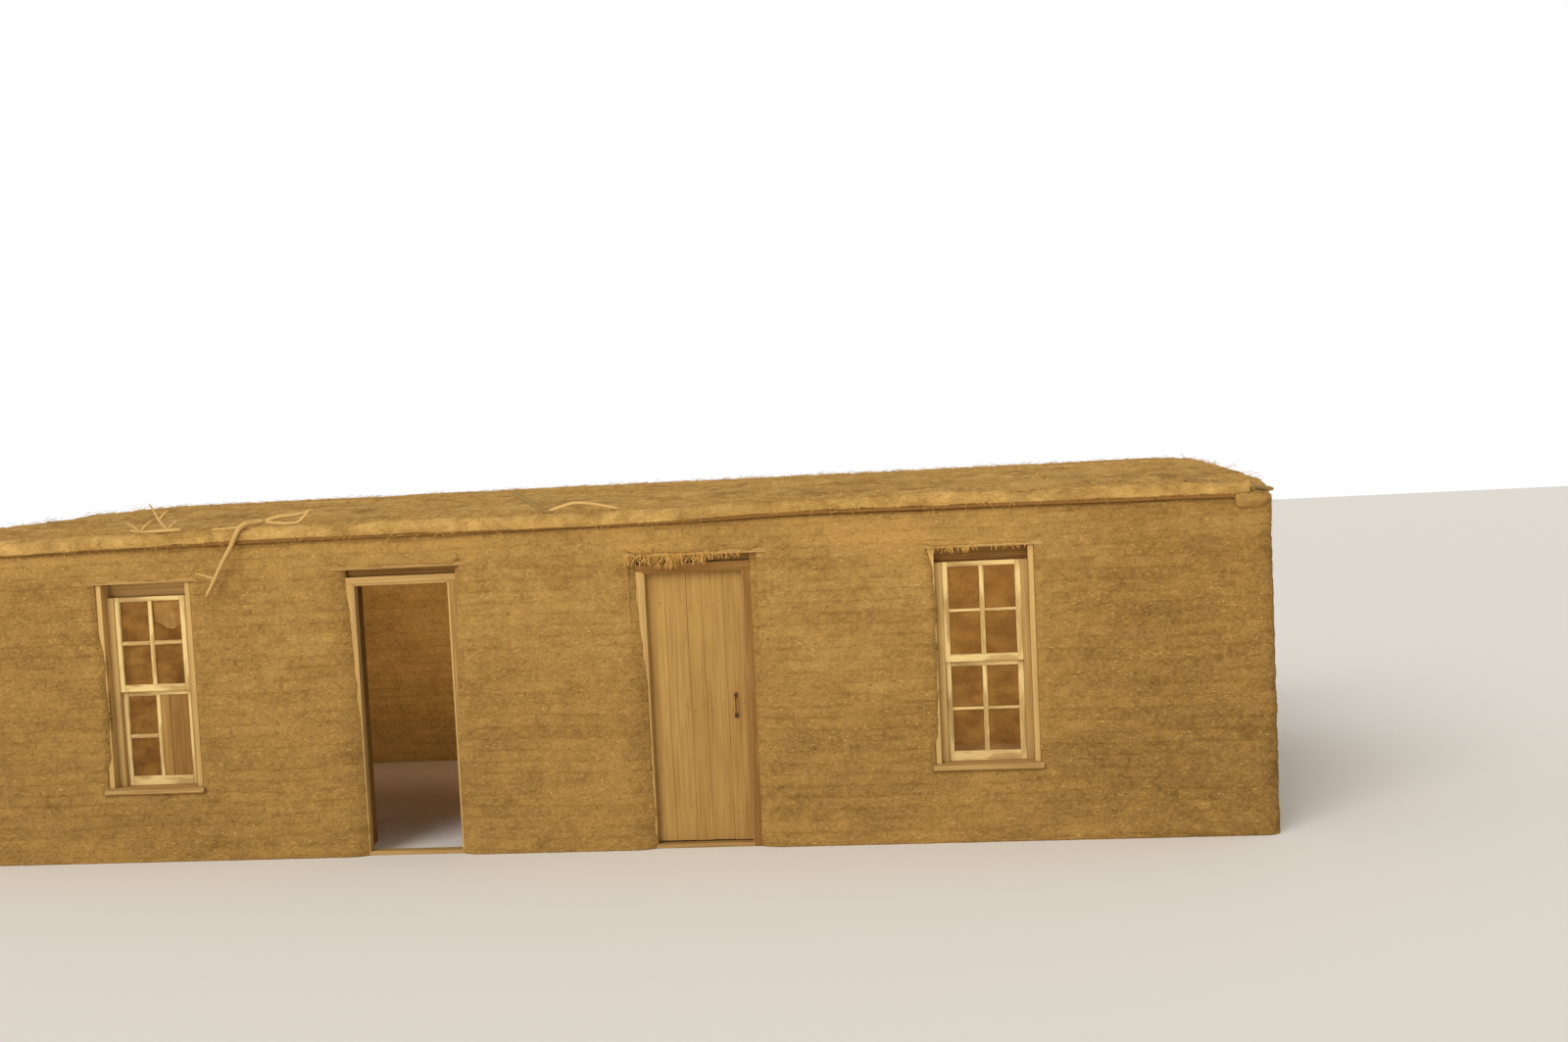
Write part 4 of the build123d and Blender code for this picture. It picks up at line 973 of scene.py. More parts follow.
def skin(name, start, stop, top_at, stretch_from, openings, spacing, values):
    """Outer skin of cut sods over a stretch of wall: a closed shell that stands just proud of the
    wall's face, rounded back round its openings, and shaped by the sod relief tree."""
    top = top_at(FRONT if openings else around_house(0.5 * (start + stop))[0].y)
    along = grid_lines(sorted({start, stop} | {x for o in openings for x in (o.left, o.right)}), spacing)
    up = grid_lines(sorted({0.0, top} | {z for o in openings for z in (o.foot, o.head)}), spacing * 0.8)
    vertices = []
    fields = {label: [] for label in ("outward", "around", "rise", "hold", "sink", "straw", "ledge")}
    for s in along:
        place, direction = around_house(s)
        lifted = top_at(place.y) - top
        if openings:
            lifted += MEETS_PLANK + DROOP_AT_WALL * eave_droop(place.x)
        for z in up:
            height = z + lifted * min(max((z - stretch_from) / (top - stretch_from), 0.0), 1.0)
            moved = sum(o.shift(s, z) for o in openings)
            out = top_course(s, z) if openings else 0.0
            vertices.append((place.x + moved + direction.x * out, place.y + direction.y * out, height))
            share, arris = min([(o.nearest(s, z) / o.round_off, o.arris) for o in openings] + [(1.0, 0.0)],
                               key=lambda pair: pair[0])
            rounding = 1 - (1 - share) ** 2
            at_top = min(1.0, max(0.0, (top - z) / (FRONT_TOP_ROUND if openings else REAR_TOP_ROUND)))
            hold = rounding * math.sqrt(1 - (1 - at_top) ** 2)
            outward = (direction.x, direction.y, 0.0)
            sink = arris * (1 - rounding)
            for label, value in zip(fields, (outward, s + moved, height, hold, sink, rounding, out)):
                fields[label].append(value)
    rows = len(up)
    faces = []
    for i, (left, right) in enumerate(zip(along, along[1:])):
        for j, (foot, head) in enumerate(zip(up, up[1:])):
            if not any(o.holds(0.5 * (left + right), 0.5 * (foot + head)) for o in openings):
                low = i * rows + j
                faces.append((low, low + rows, low + rows + 1, low + 1))
    piece = object_from(name, vertices, faces)
    store_values(piece.data, **fields)
    close_behind(piece, 12 * MM)
    piece.data.polygons.foreach_set("use_smooth", [True] * len(piece.data.polygons))
    grow(piece, trees["sods"], values)
    attach(piece, "house", "turf_wall")
    return piece


def close_behind(piece, depth):
    """Close an open skin with sides and a back that lies a little inside the wall."""
    shell = bmesh.new()
    shell.from_mesh(piece.data)
    outward = shell.verts.layers.float_vector["outward"]
    around, hold, sink, straw, ledge = [
        shell.verts.layers.float[label] for label in ("around", "hold", "sink", "straw", "ledge")]
    bmesh.ops.delete(shell, geom=[v for v in shell.verts if not v.link_faces], context="VERTS")
    rim = [edge for edge in shell.edges if edge.is_boundary]
    reach = [vertex[around] for vertex in shell.verts]
    for edge in rim:
        if any(all(abs(v[around] - end) < 1 * MM for v in edge.verts) for end in (min(reach), max(reach))):
            edge.smooth = False
    made = bmesh.ops.extrude_edge_only(shell, edges=rim)["geom"]
    for vertex in made:
        if isinstance(vertex, bmesh.types.BMVert):
            vertex.co -= vertex[outward] * (depth + vertex[sink] + vertex[ledge])
            for layer in (hold, sink, straw):
                vertex[layer] = 0.0
    rim = [item for item in made if isinstance(item, bmesh.types.BMEdge)]
    bmesh.ops.triangle_fill(shell, edges=rim, use_beauty=False, use_dissolve=False)
    bmesh.ops.recalc_face_normals(shell, faces=shell.faces)
    shell.to_mesh(piece.data)
    shell.free()


def strewn(piece, slot, values, tree="stems"):
    """Stems or tufts scattered over a piece take its place, a little inside the frame's own box."""
    hair = 2 * MM
    low, high = cad_bounds
    limits = {"Lowest Corner": [v + hair for v in low], "Highest Corner": [v - hair for v in high]}
    grow(piece, trees[tree], {**values, **limits})
    attach(piece, "house", slot)


def strew(name, source, slot, values, tree="stems"):
    """Stems or tufts scattered over a finished piece, as a piece of their own."""
    piece = bpy.data.objects.new(name, source.data.copy())
    bpy.context.scene.collection.objects.link(piece)
    strewn(piece, slot, values, tree)


class TURFHOUSE_OT_walls(bpy.types.Operator):
    """Cover the walls with courses of cut turf and the roots that hang out of them"""

    bl_idname = "turfhouse.walls"
    bl_label = "Turf walls"

    def execute(self, context):
        settings = context.scene.turf_house_walls
        corner = STRAIGHT + ARC
        end = corner + 2 * END_STRAIGHT
        sods = {
            "Course Height": settings.course_height, "Sod Length": settings.sod_length,
            "Joint Width": settings.joint_width, "Joint Depth": settings.joint_depth, "Proud": 12 * MM,
            "Unevenness": 4 * MM, "Lumps": 22 * MM, "Crumbs": 9 * MM, "Crumb Size": 30 * MM,
            "Pock Depth": settings.pock_depth, "Lowest": 1 * MM, "Highest": 22 * MM, "Broken Joints": 0.5,
            "Joint Shade": 0.34, "Seed": settings.seed, "Material": materials["cut_turf"],
        }
        roots = {
            "Longest": settings.root_length, "Thickness": 0.9 * MM, "Swing": 1.3,
            "Least Lift": 0.02, "Most Lift": 0.5, "Seed": settings.seed, "Lie": (0.0, 0.0, -1.0),
            "Material": materials["root"],
        }

        def under_boards(y):
            return roof_line(y) - 4 * MM

        sides = [(name, skin(name + "_turf", start, stop, under_boards, foot, openings, spacing, sods))
                 for name, start, stop, foot, openings, spacing in (
            ("front", -corner, corner, EAVE_HEIGHT - 0.2, front_openings(), settings.front_grid),
            ("right_end", corner, end, 0.0, [], settings.rear_grid),
            ("left_end", -end, -corner, 0.0, [], settings.rear_grid),
            ("back", end, end + 2 * corner, EAVE_HEIGHT, [], settings.rear_grid))]
        for name, turf in sides:
            density = 220.0 if name == "front" else 55.0
            strew(name + "_roots", turf, "turf_wall", {**roots, "Density": density})
        paint_nodes("cut_turf", "front_wall_left", "front_wall_over_doorway", "front_wall_middle",
                    "front_wall_over_door", "front_wall_right", "left_end_wall", "right_end_wall",
                    "back_wall", "front_beam_filling", "back_beam_filling")
        self.hang_fringes({**roots, "Swing": 0.75, "Least Lift": -0.15, "Material": materials["fringe"],
                           "Thickness": 2.1 * MM})
        return {"FINISHED"}

    def hang_fringes(self, hanging):
        """Ragged rows of roots from under the sods' edges over the openings: thick over the door's left
        part, thin elsewhere."""
        low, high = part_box("front_wall_over_door")
        door = [low.x + (high.x - low.x) * share for share in (0.2, 0.4, 0.66)]
        left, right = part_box("window_frame_right")[0].x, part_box("window_frame_right")[1].x
        window = [left + (right - left) * share for share in (0.45, 0.6)]
        face = FRONT - 20 * MM
        for name, start, stop, lintel, longest, density in (
            ("door_fringe_left", low.x - 60 * MM, door[0], "door_lintel", 0.085, 42000.0),
            ("door_fringe_long", door[0], door[1], "door_lintel", 0.12, 60000.0),
            ("door_fringe", door[1], door[2], "door_lintel", 0.09, 44000.0),
            ("door_fringe_thin", door[2], high.x - 30 * MM, "door_lintel", 0.06, 14000.0),
            ("window_fringe_left_part", left, window[0], "window_lintel_right", 0.06, 24000.0),
            ("window_fringe_right_part", window[1], right, "window_lintel_right", 0.05, 9000.0),
        ):
            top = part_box(lintel)[0].z + LINTEL_SHOWN + 6 * MM
            foot = top - 8 * MM
            corners = [(start, face, top), (stop, face, top), (stop, face, foot), (start, face, foot)]
            strip = object_from(name, corners, [(0, 3, 2, 1)])
            store_values(strip.data, straw=[1.0] * 4)
            strewn(strip, "turf_wall", {**hanging, "Longest": longest, "Density": density})


# Roof turf

def eave_droop(x):
    """How far the front eave's outer edge has sagged or lifted, in metres, at a place along it."""
    points = [(-5.2, -34), (-4.2, -20), (-3.2, -6), (-1.5, 0), (0.0, -2), (0.8, 0), (1.9, 22), (3.3, 14),
              (4.3, 6), (5.2, 0)]
    for (x0, d0), (x1, d1) in zip(points, points[1:]):
        if x <= x1:
            return (d0 + (d1 - d0) * eased((x - x0) / (x1 - x0))) * MM
    return points[-1][1] * MM


def sagged(x, y, z):
    """A point of the eave moved with the droop, which fades out over the wall."""
    outside = min(max((FRONT + 0.05 - y) / (FRONT + 0.05 - EAVE_EDGE), 0.0), 1.0)
    return (x, y, z + eave_droop(x) * outside)


def over_boards(y, up):
    """A depth and a height above the boards' top."""
    return (y, roof_line(y) + BOARD_THICKNESS + up)


def arc_points(start, middle, stop, count):
    """Points along a circle's arc through three depth and height pairs."""
    (ax, ay), (bx, by), (cx, cy) = start, middle, stop
    d = 2 * (ax * (by - cy) + bx * (cy - ay) + cx * (ay - by))
    ux = ((ax**2 + ay**2) * (by - cy) + (bx**2 + by**2) * (cy - ay) + (cx**2 + cy**2) * (ay - by)) / d
    uy = ((ax**2 + ay**2) * (cx - bx) + (bx**2 + by**2) * (ax - cx) + (cx**2 + cy**2) * (bx - ax)) / d
    radius = math.hypot(ax - ux, ay - uy)
    first, through, last = [math.atan2(y - uy, x - ux) for x, y in (start, middle, stop)]
    turn = 2 * math.pi
    forward = (last - first) % turn
    if (through - first) % turn > forward:
        forward -= turn
    angles = [first + forward * k / count for k in range(count + 1)]
    return [(ux + radius * math.cos(angle), uy + radius * math.sin(angle)) for angle in angles]


def nose_middle(y_foot, y_top, thickness):
    """Middle point of a rounded turf edge that ends level at its top."""
    radius = ((y_foot - y_top) ** 2 + thickness**2) / (2 * thickness)
    to_foot = Vector((y_foot - y_top, radius - thickness)).normalized()
    to_middle = (to_foot + Vector((0.0, 1.0))).normalized() * radius
    return over_boards(y_top + to_middle.x, thickness - radius + to_middle.y)


def spread(start, stop, spacing):
    """Points along a straight run between two depth and height pairs, without the last."""
    count = max(1, math.ceil(math.dist(start, stop) / spacing))
    return [(start[0] + (stop[0] - start[0]) * k / count, start[1] + (stop[1] - start[1]) * k / count)
            for k in range(count)]


def outline_directions(outline):
    """Outward direction at each point of a closed outline."""
    directions = []
    count = len(outline)
    area = sum(outline[k][0] * outline[(k + 1) % count][1] - outline[(k + 1) % count][0] * outline[k][1]
               for k in range(count))
    side = 1 if area > 0 else -1
    for k in range(count):
        before, after = outline[k - 1], outline[(k + 1) % count]
        dy, dz = after[0] - before[0], after[1] - before[1]
        length = math.hypot(dy, dz) or 1.0
        directions.append((side * dz / length, -side * dy / length))
    return directions


NOSE_DEPTH = 45 * MM
NOSE_INSET = 5 * MM
EAVE_TURF = 80 * MM
ROOF_CROWN = 125 * MM
GABLE_ROUND = 60 * MM
SLUMP_LENGTH = 0.6
SLUMP_FALL = 95 * MM
GABLE_EDGE = boards_high.x
BACK_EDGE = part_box("back_eave_plank")[1].y
TURF_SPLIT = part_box("roof_turf")[0].y
SLUMP_START = HALF_LENGTH - SLUMP_LENGTH
SLUMP_SLOPE = SLUMP_FALL / (SLUMP_LENGTH + GABLE_EDGE - HALF_LENGTH)
SLUMP_BACK = EAVE_EDGE + 0.2
OVERLAP = 0.14


def front_rise(x):
    """Thickness of the eave turf's front: it falls away at the slumped corner."""
    return EAVE_TURF - SLUMP_SLOPE * max(0.0, x - SLUMP_START)


def lip_drop(x):
    """How far the eave turf hangs over the plank's edge at a place along the house."""
    places = (-5.2, -3.0, -2.5, -1.75, -0.9, 0.4, 1.3, 2.4, 5.2)
    drops = (20, 22, 9, 7, 17, 21, 10, 5, 4)
    ragged = 3 * noise.noise(Vector((x * 2.3, 1.0, 0.0))) + 3 * noise.noise(Vector((x * 9.0, 2.0, 0.0)))
    return (float(np.interp(x, places, drops)) + ragged) * MM


def tucked_under(flat, spacing):
    """Points from the eave turf's flat top to where it dips under the main roof turf, and the last one."""
    shoulder = over_boards(TURF_SPLIT - 10 * MM, EAVE_TURF)
    tucked = over_boards(TURF_SPLIT + OVERLAP, EAVE_TURF - 50 * MM)
    return spread(flat, shoulder, spacing) + spread(shoulder, tucked, spacing), tucked


def eave_outline(x, spacing):
    """Outline of the eave turf at a place along the house, and which of its points may move."""
    rise = front_rise(x)
    lobe = noise.noise(Vector((x * 1.6, 3.0, 0.0))) + 0.5 * noise.noise(Vector((x * 4.7, 4.0, 0.0)))
    bulge = (11 + 8 * lobe) * MM
    foot = over_boards(EAVE_EDGE - 1 * MM, -lip_drop(x))
    top = over_boards(EAVE_EDGE + NOSE_DEPTH + 25 * MM + 2 * bulge, rise)
    middle = over_boards(EAVE_EDGE - bulge, 0.3 * rise)
    nose = arc_points(foot, middle, top, 11)
    flat = over_boards(SLUMP_BACK, rise)
    run, tucked = tucked_under(flat, spacing)
    free = nose[:-1] + spread(top, flat, spacing) + run
    fixed = [tucked, over_boards(tucked[0], 0), over_boards(EAVE_EDGE - 0.6 * MM, 0.5 * MM)]
    return free + fixed, [0.5, 0.8] + [1.0] * (len(free) - 2) + [0.0] * len(fixed)


def roof_outline(x, spacing):
    """Outline of the main roof turf, lowered where its gable edges are rounded."""
    inset = min(1.0, (GABLE_EDGE - abs(x)) / GABLE_ROUND)
    drop = GABLE_ROUND * 0.65 * (1 - math.sqrt(max(0.0, 1 - (1 - inset) ** 2)))
    edge = EAVE_TURF - drop
    back_top = BACK_EDGE - NOSE_DEPTH
    back_foot = BACK_EDGE - NOSE_INSET
    crown_y = (TURF_SPLIT + back_top) / 2
    start, crown = over_boards(TURF_SPLIT, edge), over_boards(crown_y, ROOF_CROWN - drop)
    stop = over_boards(back_top, edge)
    count = math.ceil((back_top - TURF_SPLIT) / spacing)
    top = arc_points(start, crown, stop, count)
    top[0] = over_boards(TURF_SPLIT, edge - 25 * MM)
    nose = arc_points(stop, nose_middle(back_foot, back_top, edge), over_boards(back_foot, 0), 6)
    outline = top[:-1] + nose + [over_boards(TURF_SPLIT, 0)]
    hold = [1.0] * (len(top) - 1 + len(nose) - 1) + [0.0, 0.0]
    return outline, hold


CLOD_SHARE = 0.86


def clod_outline(x, spacing):
    """Outline of the corner clod: a hanging lump in front and a top that runs back over the boards."""
    start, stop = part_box("corner_clod")[0].x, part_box("corner_clod")[1].x
    share = (x - start) / (stop - start)
    round_end = math.sqrt(max(0.0, 1 - max(0.0, (share - 0.3) / (CLOD_SHARE - 0.3)) ** 2))
    round_start = 0.7 + 0.3 * min(1.0, share / 0.12)
    swell = (0.08 + 0.92 * round_end) * round_start
    rise = front_rise(x) - 4 * MM * (1 - round_end)
    foot = -BOARD_THICKNESS - 90 * MM * swell
    belly = rise - (rise - foot) * 0.55
    front = EAVE_EDGE - 16 * MM * swell + 26 * MM * (1 - round_end)
    low = over_boards(FRONT - 6 * MM, foot)
    hang = arc_points(low, over_boards(front + 20 * MM, (foot + belly) / 2), over_boards(front, belly), 8)
    over = arc_points(over_boards(front, belly), over_boards(front + NOSE_INSET, (belly + rise) / 2),
                      over_boards(front + NOSE_DEPTH, rise), 8)
    flat = over_boards(SLUMP_BACK, rise)
    run, tucked = tucked_under(flat, spacing)
    inner = (FRONT - 6 * MM, roof_line(FRONT) - 2 * MM)
    step_y = EAVE_EDGE + 0.25 - 2 * MM
    step = (step_y, roof_line(EAVE_EDGE + 0.25) + 1 * MM)
    free = hang[:-1] + over[:-1] + spread(over[-1], flat, spacing) + run
    fixed = [tucked, over_boards(tucked[0], 1 * MM), over_boards(step_y, 1 * MM), step, inner]
    hold = [1.0] * len(free) + [0.0] * len(fixed)
    hold[0] = 0.3
    return free + fixed, hold


def turf_loft(name, outline_at, start, stop, spacing, along_spacing, sag, end_hold, node, values, tuck=0.0):
    """Lofts one layer of roof turf between two places along the house, shaped by the sod relief tree.
    tuck is how far its last stretch draws in, to end inside its neighbour."""
    count = math.ceil((stop - start) / along_spacing)
    vertices, outward, around, rise, hold = [], [], [], [], []
    for k in range(count + 1):
        x = start + (stop - start) * k / count
        outline, holds = outline_at(x, spacing)
        walked = 0.0
        near_end = min(x - start, stop - x) / (2.5 * along_spacing)
        for number, ((y, z), (dy, dz), h) in enumerate(zip(outline, outline_directions(outline), holds)):
            if number:
                walked += math.dist(outline[number - 1], (y, z))
            drawn = h * tuck * max(0.0, 1 - (stop - x) / OVERLAP)
            point = (x, y - dy * drawn, z - dz * drawn)
            vertices.append(sagged(*point) if sag else point)
            outward.append((0.0, dy, dz))
            around.append(x)
            rise.append(walked)
            hold.append(h * min(1.0, end_hold + near_end))
    faces = tube_faces(0, count + 1, len(outline_at(start, spacing)[0]))
    piece = object_from(name, vertices, faces)
    close_outward(piece)
    still = [0.0] * len(hold)
    store_values(piece.data, outward=outward, around=around, rise=rise, hold=hold, sink=still, straw=hold)
    piece.data.polygons.foreach_set("use_smooth", [True] * (len(faces) - 2) + [False, False])
    grow(piece, trees["sods"], values)
    attach(piece, "house", "roof_turf", node)
    return piece


class TURFHOUSE_OT_roof_turf(bpy.types.Operator):
    """Lay the roof's turf, the rounded strip along the eave and the clod at the slumped corner"""

    bl_idname = "turfhouse.roof_turf"
    bl_label = "Roof turf"

    def execute(self, context):
        roof = context.scene.turf_house_roof
        common = {
            "Course Height": roof.sod_width, "Sod Length": roof.sod_length, "Joint Width": 45 * MM,
            "Joint Depth": 18 * MM, "Proud": -14 * MM, "Unevenness": 20 * MM, "Lumps": 75 * MM,
            "Crumbs": 20 * MM, "Crumb Size": 70 * MM, "Pock Depth": 0.0, "Lowest": -45 * MM, "Highest": 0.0,
            "Broken Joints": 0.52, "Seed": roof.seed, "Material": materials["grass_turf"],
        }
        along_eave = {
            **common, "Course Height": 0.16, "Sod Length": 0.9, "Joint Width": 50 * MM, "Joint Depth": 6 * MM,
            "Proud": -2 * MM, "Unevenness": 6 * MM, "Lumps": 30 * MM, "Crumbs": 18 * MM,
            "Crumb Size": 55 * MM, "Lowest": -20 * MM, "Highest": 12 * MM, "Broken Joints": 0.5,
            "Joint Shade": 0.15,
        }
        at_corner = {
            **common, "Course Height": 0.3, "Sod Length": 0.4, "Joint Width": 20 * MM, "Joint Depth": 10 * MM,
            "Proud": -6 * MM, "Unevenness": 6 * MM, "Lumps": 60 * MM, "Crumbs": 16 * MM,
            "Crumb Size": 30 * MM, "Lowest": -30 * MM, "Highest": 8 * MM, "Joint Shade": 0.1,
        }
        eave_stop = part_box("front_eave_turf")[1].x + OVERLAP
        clod_start, clod_stop = [corner.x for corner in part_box("corner_clod")]
        clod_stop = clod_start + CLOD_SHARE * (clod_stop - clod_start)
        main = turf_loft("roof_sods", roof_outline, -GABLE_EDGE, GABLE_EDGE, roof.grid, roof.grid, False, 0.4,
                         "roof_turf", common)
        eave = turf_loft("eave_sods", eave_outline, -GABLE_EDGE, eave_stop, 16 * MM, roof.eave_grid, True,
                         0.5, "front_eave_turf", along_eave, 35 * MM)
        clod = turf_loft("corner_sod", clod_outline, clod_start, clod_stop, 14 * MM, 12 * MM, False, 0.2,
                         "corner_clod", at_corner)
        grass = {
            "Density": 110.0, "Longest": roof.grass_length, "Thickness": 1.6 * MM, "Swing": 3.14,
            "Least Lift": 0.0, "Most Lift": 0.5, "Seed": roof.seed, "Lie": (1.0, 0.0, 0.0),
            "Material": materials["straw"],
        }
        strew("roof_grass", main, "roof_turf", grass)
        strew("roof_tufts", main, "roof_turf", {
            "Density": 26.0, "Blade": 80 * MM, "Blade Width": 3.5 * MM, "Spread": 20 * MM, "Seed": roof.seed,
            "Material": materials["straw"]}, "tufts")
        strew("eave_grass", eave, "roof_turf", {
            **grass, "Density": 820.0, "Longest": 85 * MM, "Thickness": 1.9 * MM, "Most Lift": 0.45})
        strew("corner_grass", clod, "roof_turf", {
            **grass, "Density": 700.0, "Longest": 80 * MM, "Thickness": 1.1 * MM})
        return {"FINISHED"}


# Timber of the roof and over the openings

RAFTERS = 11
RAFTER_RADIUS = 60 * MM
BOARD_ROWS = 20
LINTEL_PLANKS = 4


class TURFHOUSE_OT_timber(bpy.types.Operator):
    """Build the roof's logs and boards, the eave planks and the lintels"""

    bl_idname = "turfhouse.timber"
    bl_label = "Roof timber and lintels"

    def execute(self, context):
        wear = context.scene.turf_house_timber.edge_wear
        self.logs()
        self.boards(wear)
        self.eave_planks(wear)
        self.lintels(wear)
        paint_nodes("rough", "front_wall_plate", "back_wall_plate")
        return {"FINISHED"}

    def logs(self):
        """Peeled logs: each tapers a little and keeps a slight bend between its fixed ends."""
        low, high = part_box("roof_rafters")
        store = Store(11)
        tilt = math.atan(ROOF_SLOPE)
        inset = RAFTER_RADIUS * math.sin(tilt)
        for x in between(low.x + RAFTER_RADIUS, high.x - RAFTER_RADIUS, RAFTERS - 1):
            lean = store.chance.uniform(-0.012, 0.012)
            points = []
            for share in between(0, 1, 6):
                y = low.y + inset + (high.y - low.y - 2 * inset) * share
                z = roof_line(y) - (RAFTER_RADIUS + 1 * MM) / math.cos(tilt)
                points.append((x + lean * math.sin(math.pi * share), y, z))
            store.limb(points, (RAFTER_RADIUS * 0.99, RAFTER_RADIUS * 0.9), 14, 0.05, x)
        store.finish("roof_logs", "log", "house", "log", "roof_rafters")

    def boards(self, wear):
        """Close-laid roof boards, in rows of three lengths with staggered joints."""
        store = Store(12)
        low, high = boards_low, boards_high
        width = (high.y - low.y) / BOARD_ROWS
        for row in range(BOARD_ROWS):
            y0 = low.y + width * row
            joints = sorted(store.chance.uniform(-0.7, 0.7) + place for place in (-1.75, 1.75))
            stops = [low.x] + joints + [high.x]
            for x0, x1 in zip(stops, stops[1:]):
                corner = (x1 - 2 * MM, y0 + width - 1 * MM, BOARD_THICKNESS)
                store.board((x0, y0 + 1 * MM, 0.0), corner, 0, wear, 4)
        store.bend(lambda x, y, z: (x, y, z + roof_line(y)))
        store.finish("roof_boarding", "plank", "house", "weathered_plank", "roof_boards")

    def eave_planks(self, wear):
        """The planks under the eave turf, front and back. The front ones follow the eave's droop."""
        names = ("front_eave_plank_left", "front_eave_plank_right", "back_eave_plank")
        for seed, name in enumerate(names, 13):
            low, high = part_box(name)
            store = Store(seed)
            stops = between(low.x, high.x, max(1, round((high.x - low.x) / 4.8)))
            for x0, x1 in zip(stops, stops[1:]):
                corner = (x1 - 1 * MM, high.y, BOARD_THICKNESS)
                stations = max(3, round((x1 - x0) / 0.25))
                # All the eave planks get a dark tone; on the front planks it is partly painted shade, for the
                # shade under the turf's lip
                store.board((x0, low.y, 0.0), corner, 0, wear, stations, 3 * MM, tone=-0.3)
            store.bend(lambda x, y, z: (x, y, z + roof_line(y)))
            if name.startswith("front"):
                store.bend(sagged)
            store.finish(name + "_wood", "plank", "house", "weathered_plank", name)

    def lintels(self, wear):
        """Lintels of planks laid side by side; the front one stands a little proud."""
        names = ("window_lintel_left", "window_lintel_right", "doorway_lintel", "door_lintel")
        for seed, name in enumerate(names, 16):
            low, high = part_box(name)
            store = Store(seed)
            width = (high.y - low.y) / LINTEL_PLANKS
            for k in range(LINTEL_PLANKS):
                y0 = low.y + width * k - (9 * MM if k == 0 else 0.0)
                y1 = low.y + width * (k + 1) - 1 * MM
                store.board((low.x, y0, low.z + 0.2 * MM), (high.x, y1, high.z), 0, wear, 6)
            store.finish(name + "_wood", "plank", "house", "weathered_plank", name)


# Windows

STILE = 38 * MM
TOP_RAIL = 32 * MM
BOTTOM_RAILS = {"upper": 51 * MM, "lower": 68 * MM}
GLASS = 3 * MM
CLOTH = 0.9 * MM


def outline_board(store, outline, low_x, high_x, stations=4):
    """A board with one outline across the house, run along it."""
    middle_y = sum(y for y, z in outline) / len(outline)
    middle_z = sum(z for y, z in outline) / len(outline)
    places = between(low_x, high_x, stations)
    store.rings([[(x, y, z) for y, z in outline] for x in places], [x - low_x for x in places],
                [(x, middle_y, middle_z) for x in places])


def sash_lines(side, level):
    """A sash's box, its middle, and the heights where its lights begin, cross and end."""
    low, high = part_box(level + "_sash_" + side)
    foot, head = low.z + BOTTOM_RAILS[level], high.z - TOP_RAIL
    return low, high, (low.x + high.x) / 2, foot, (foot + head) / 2, head


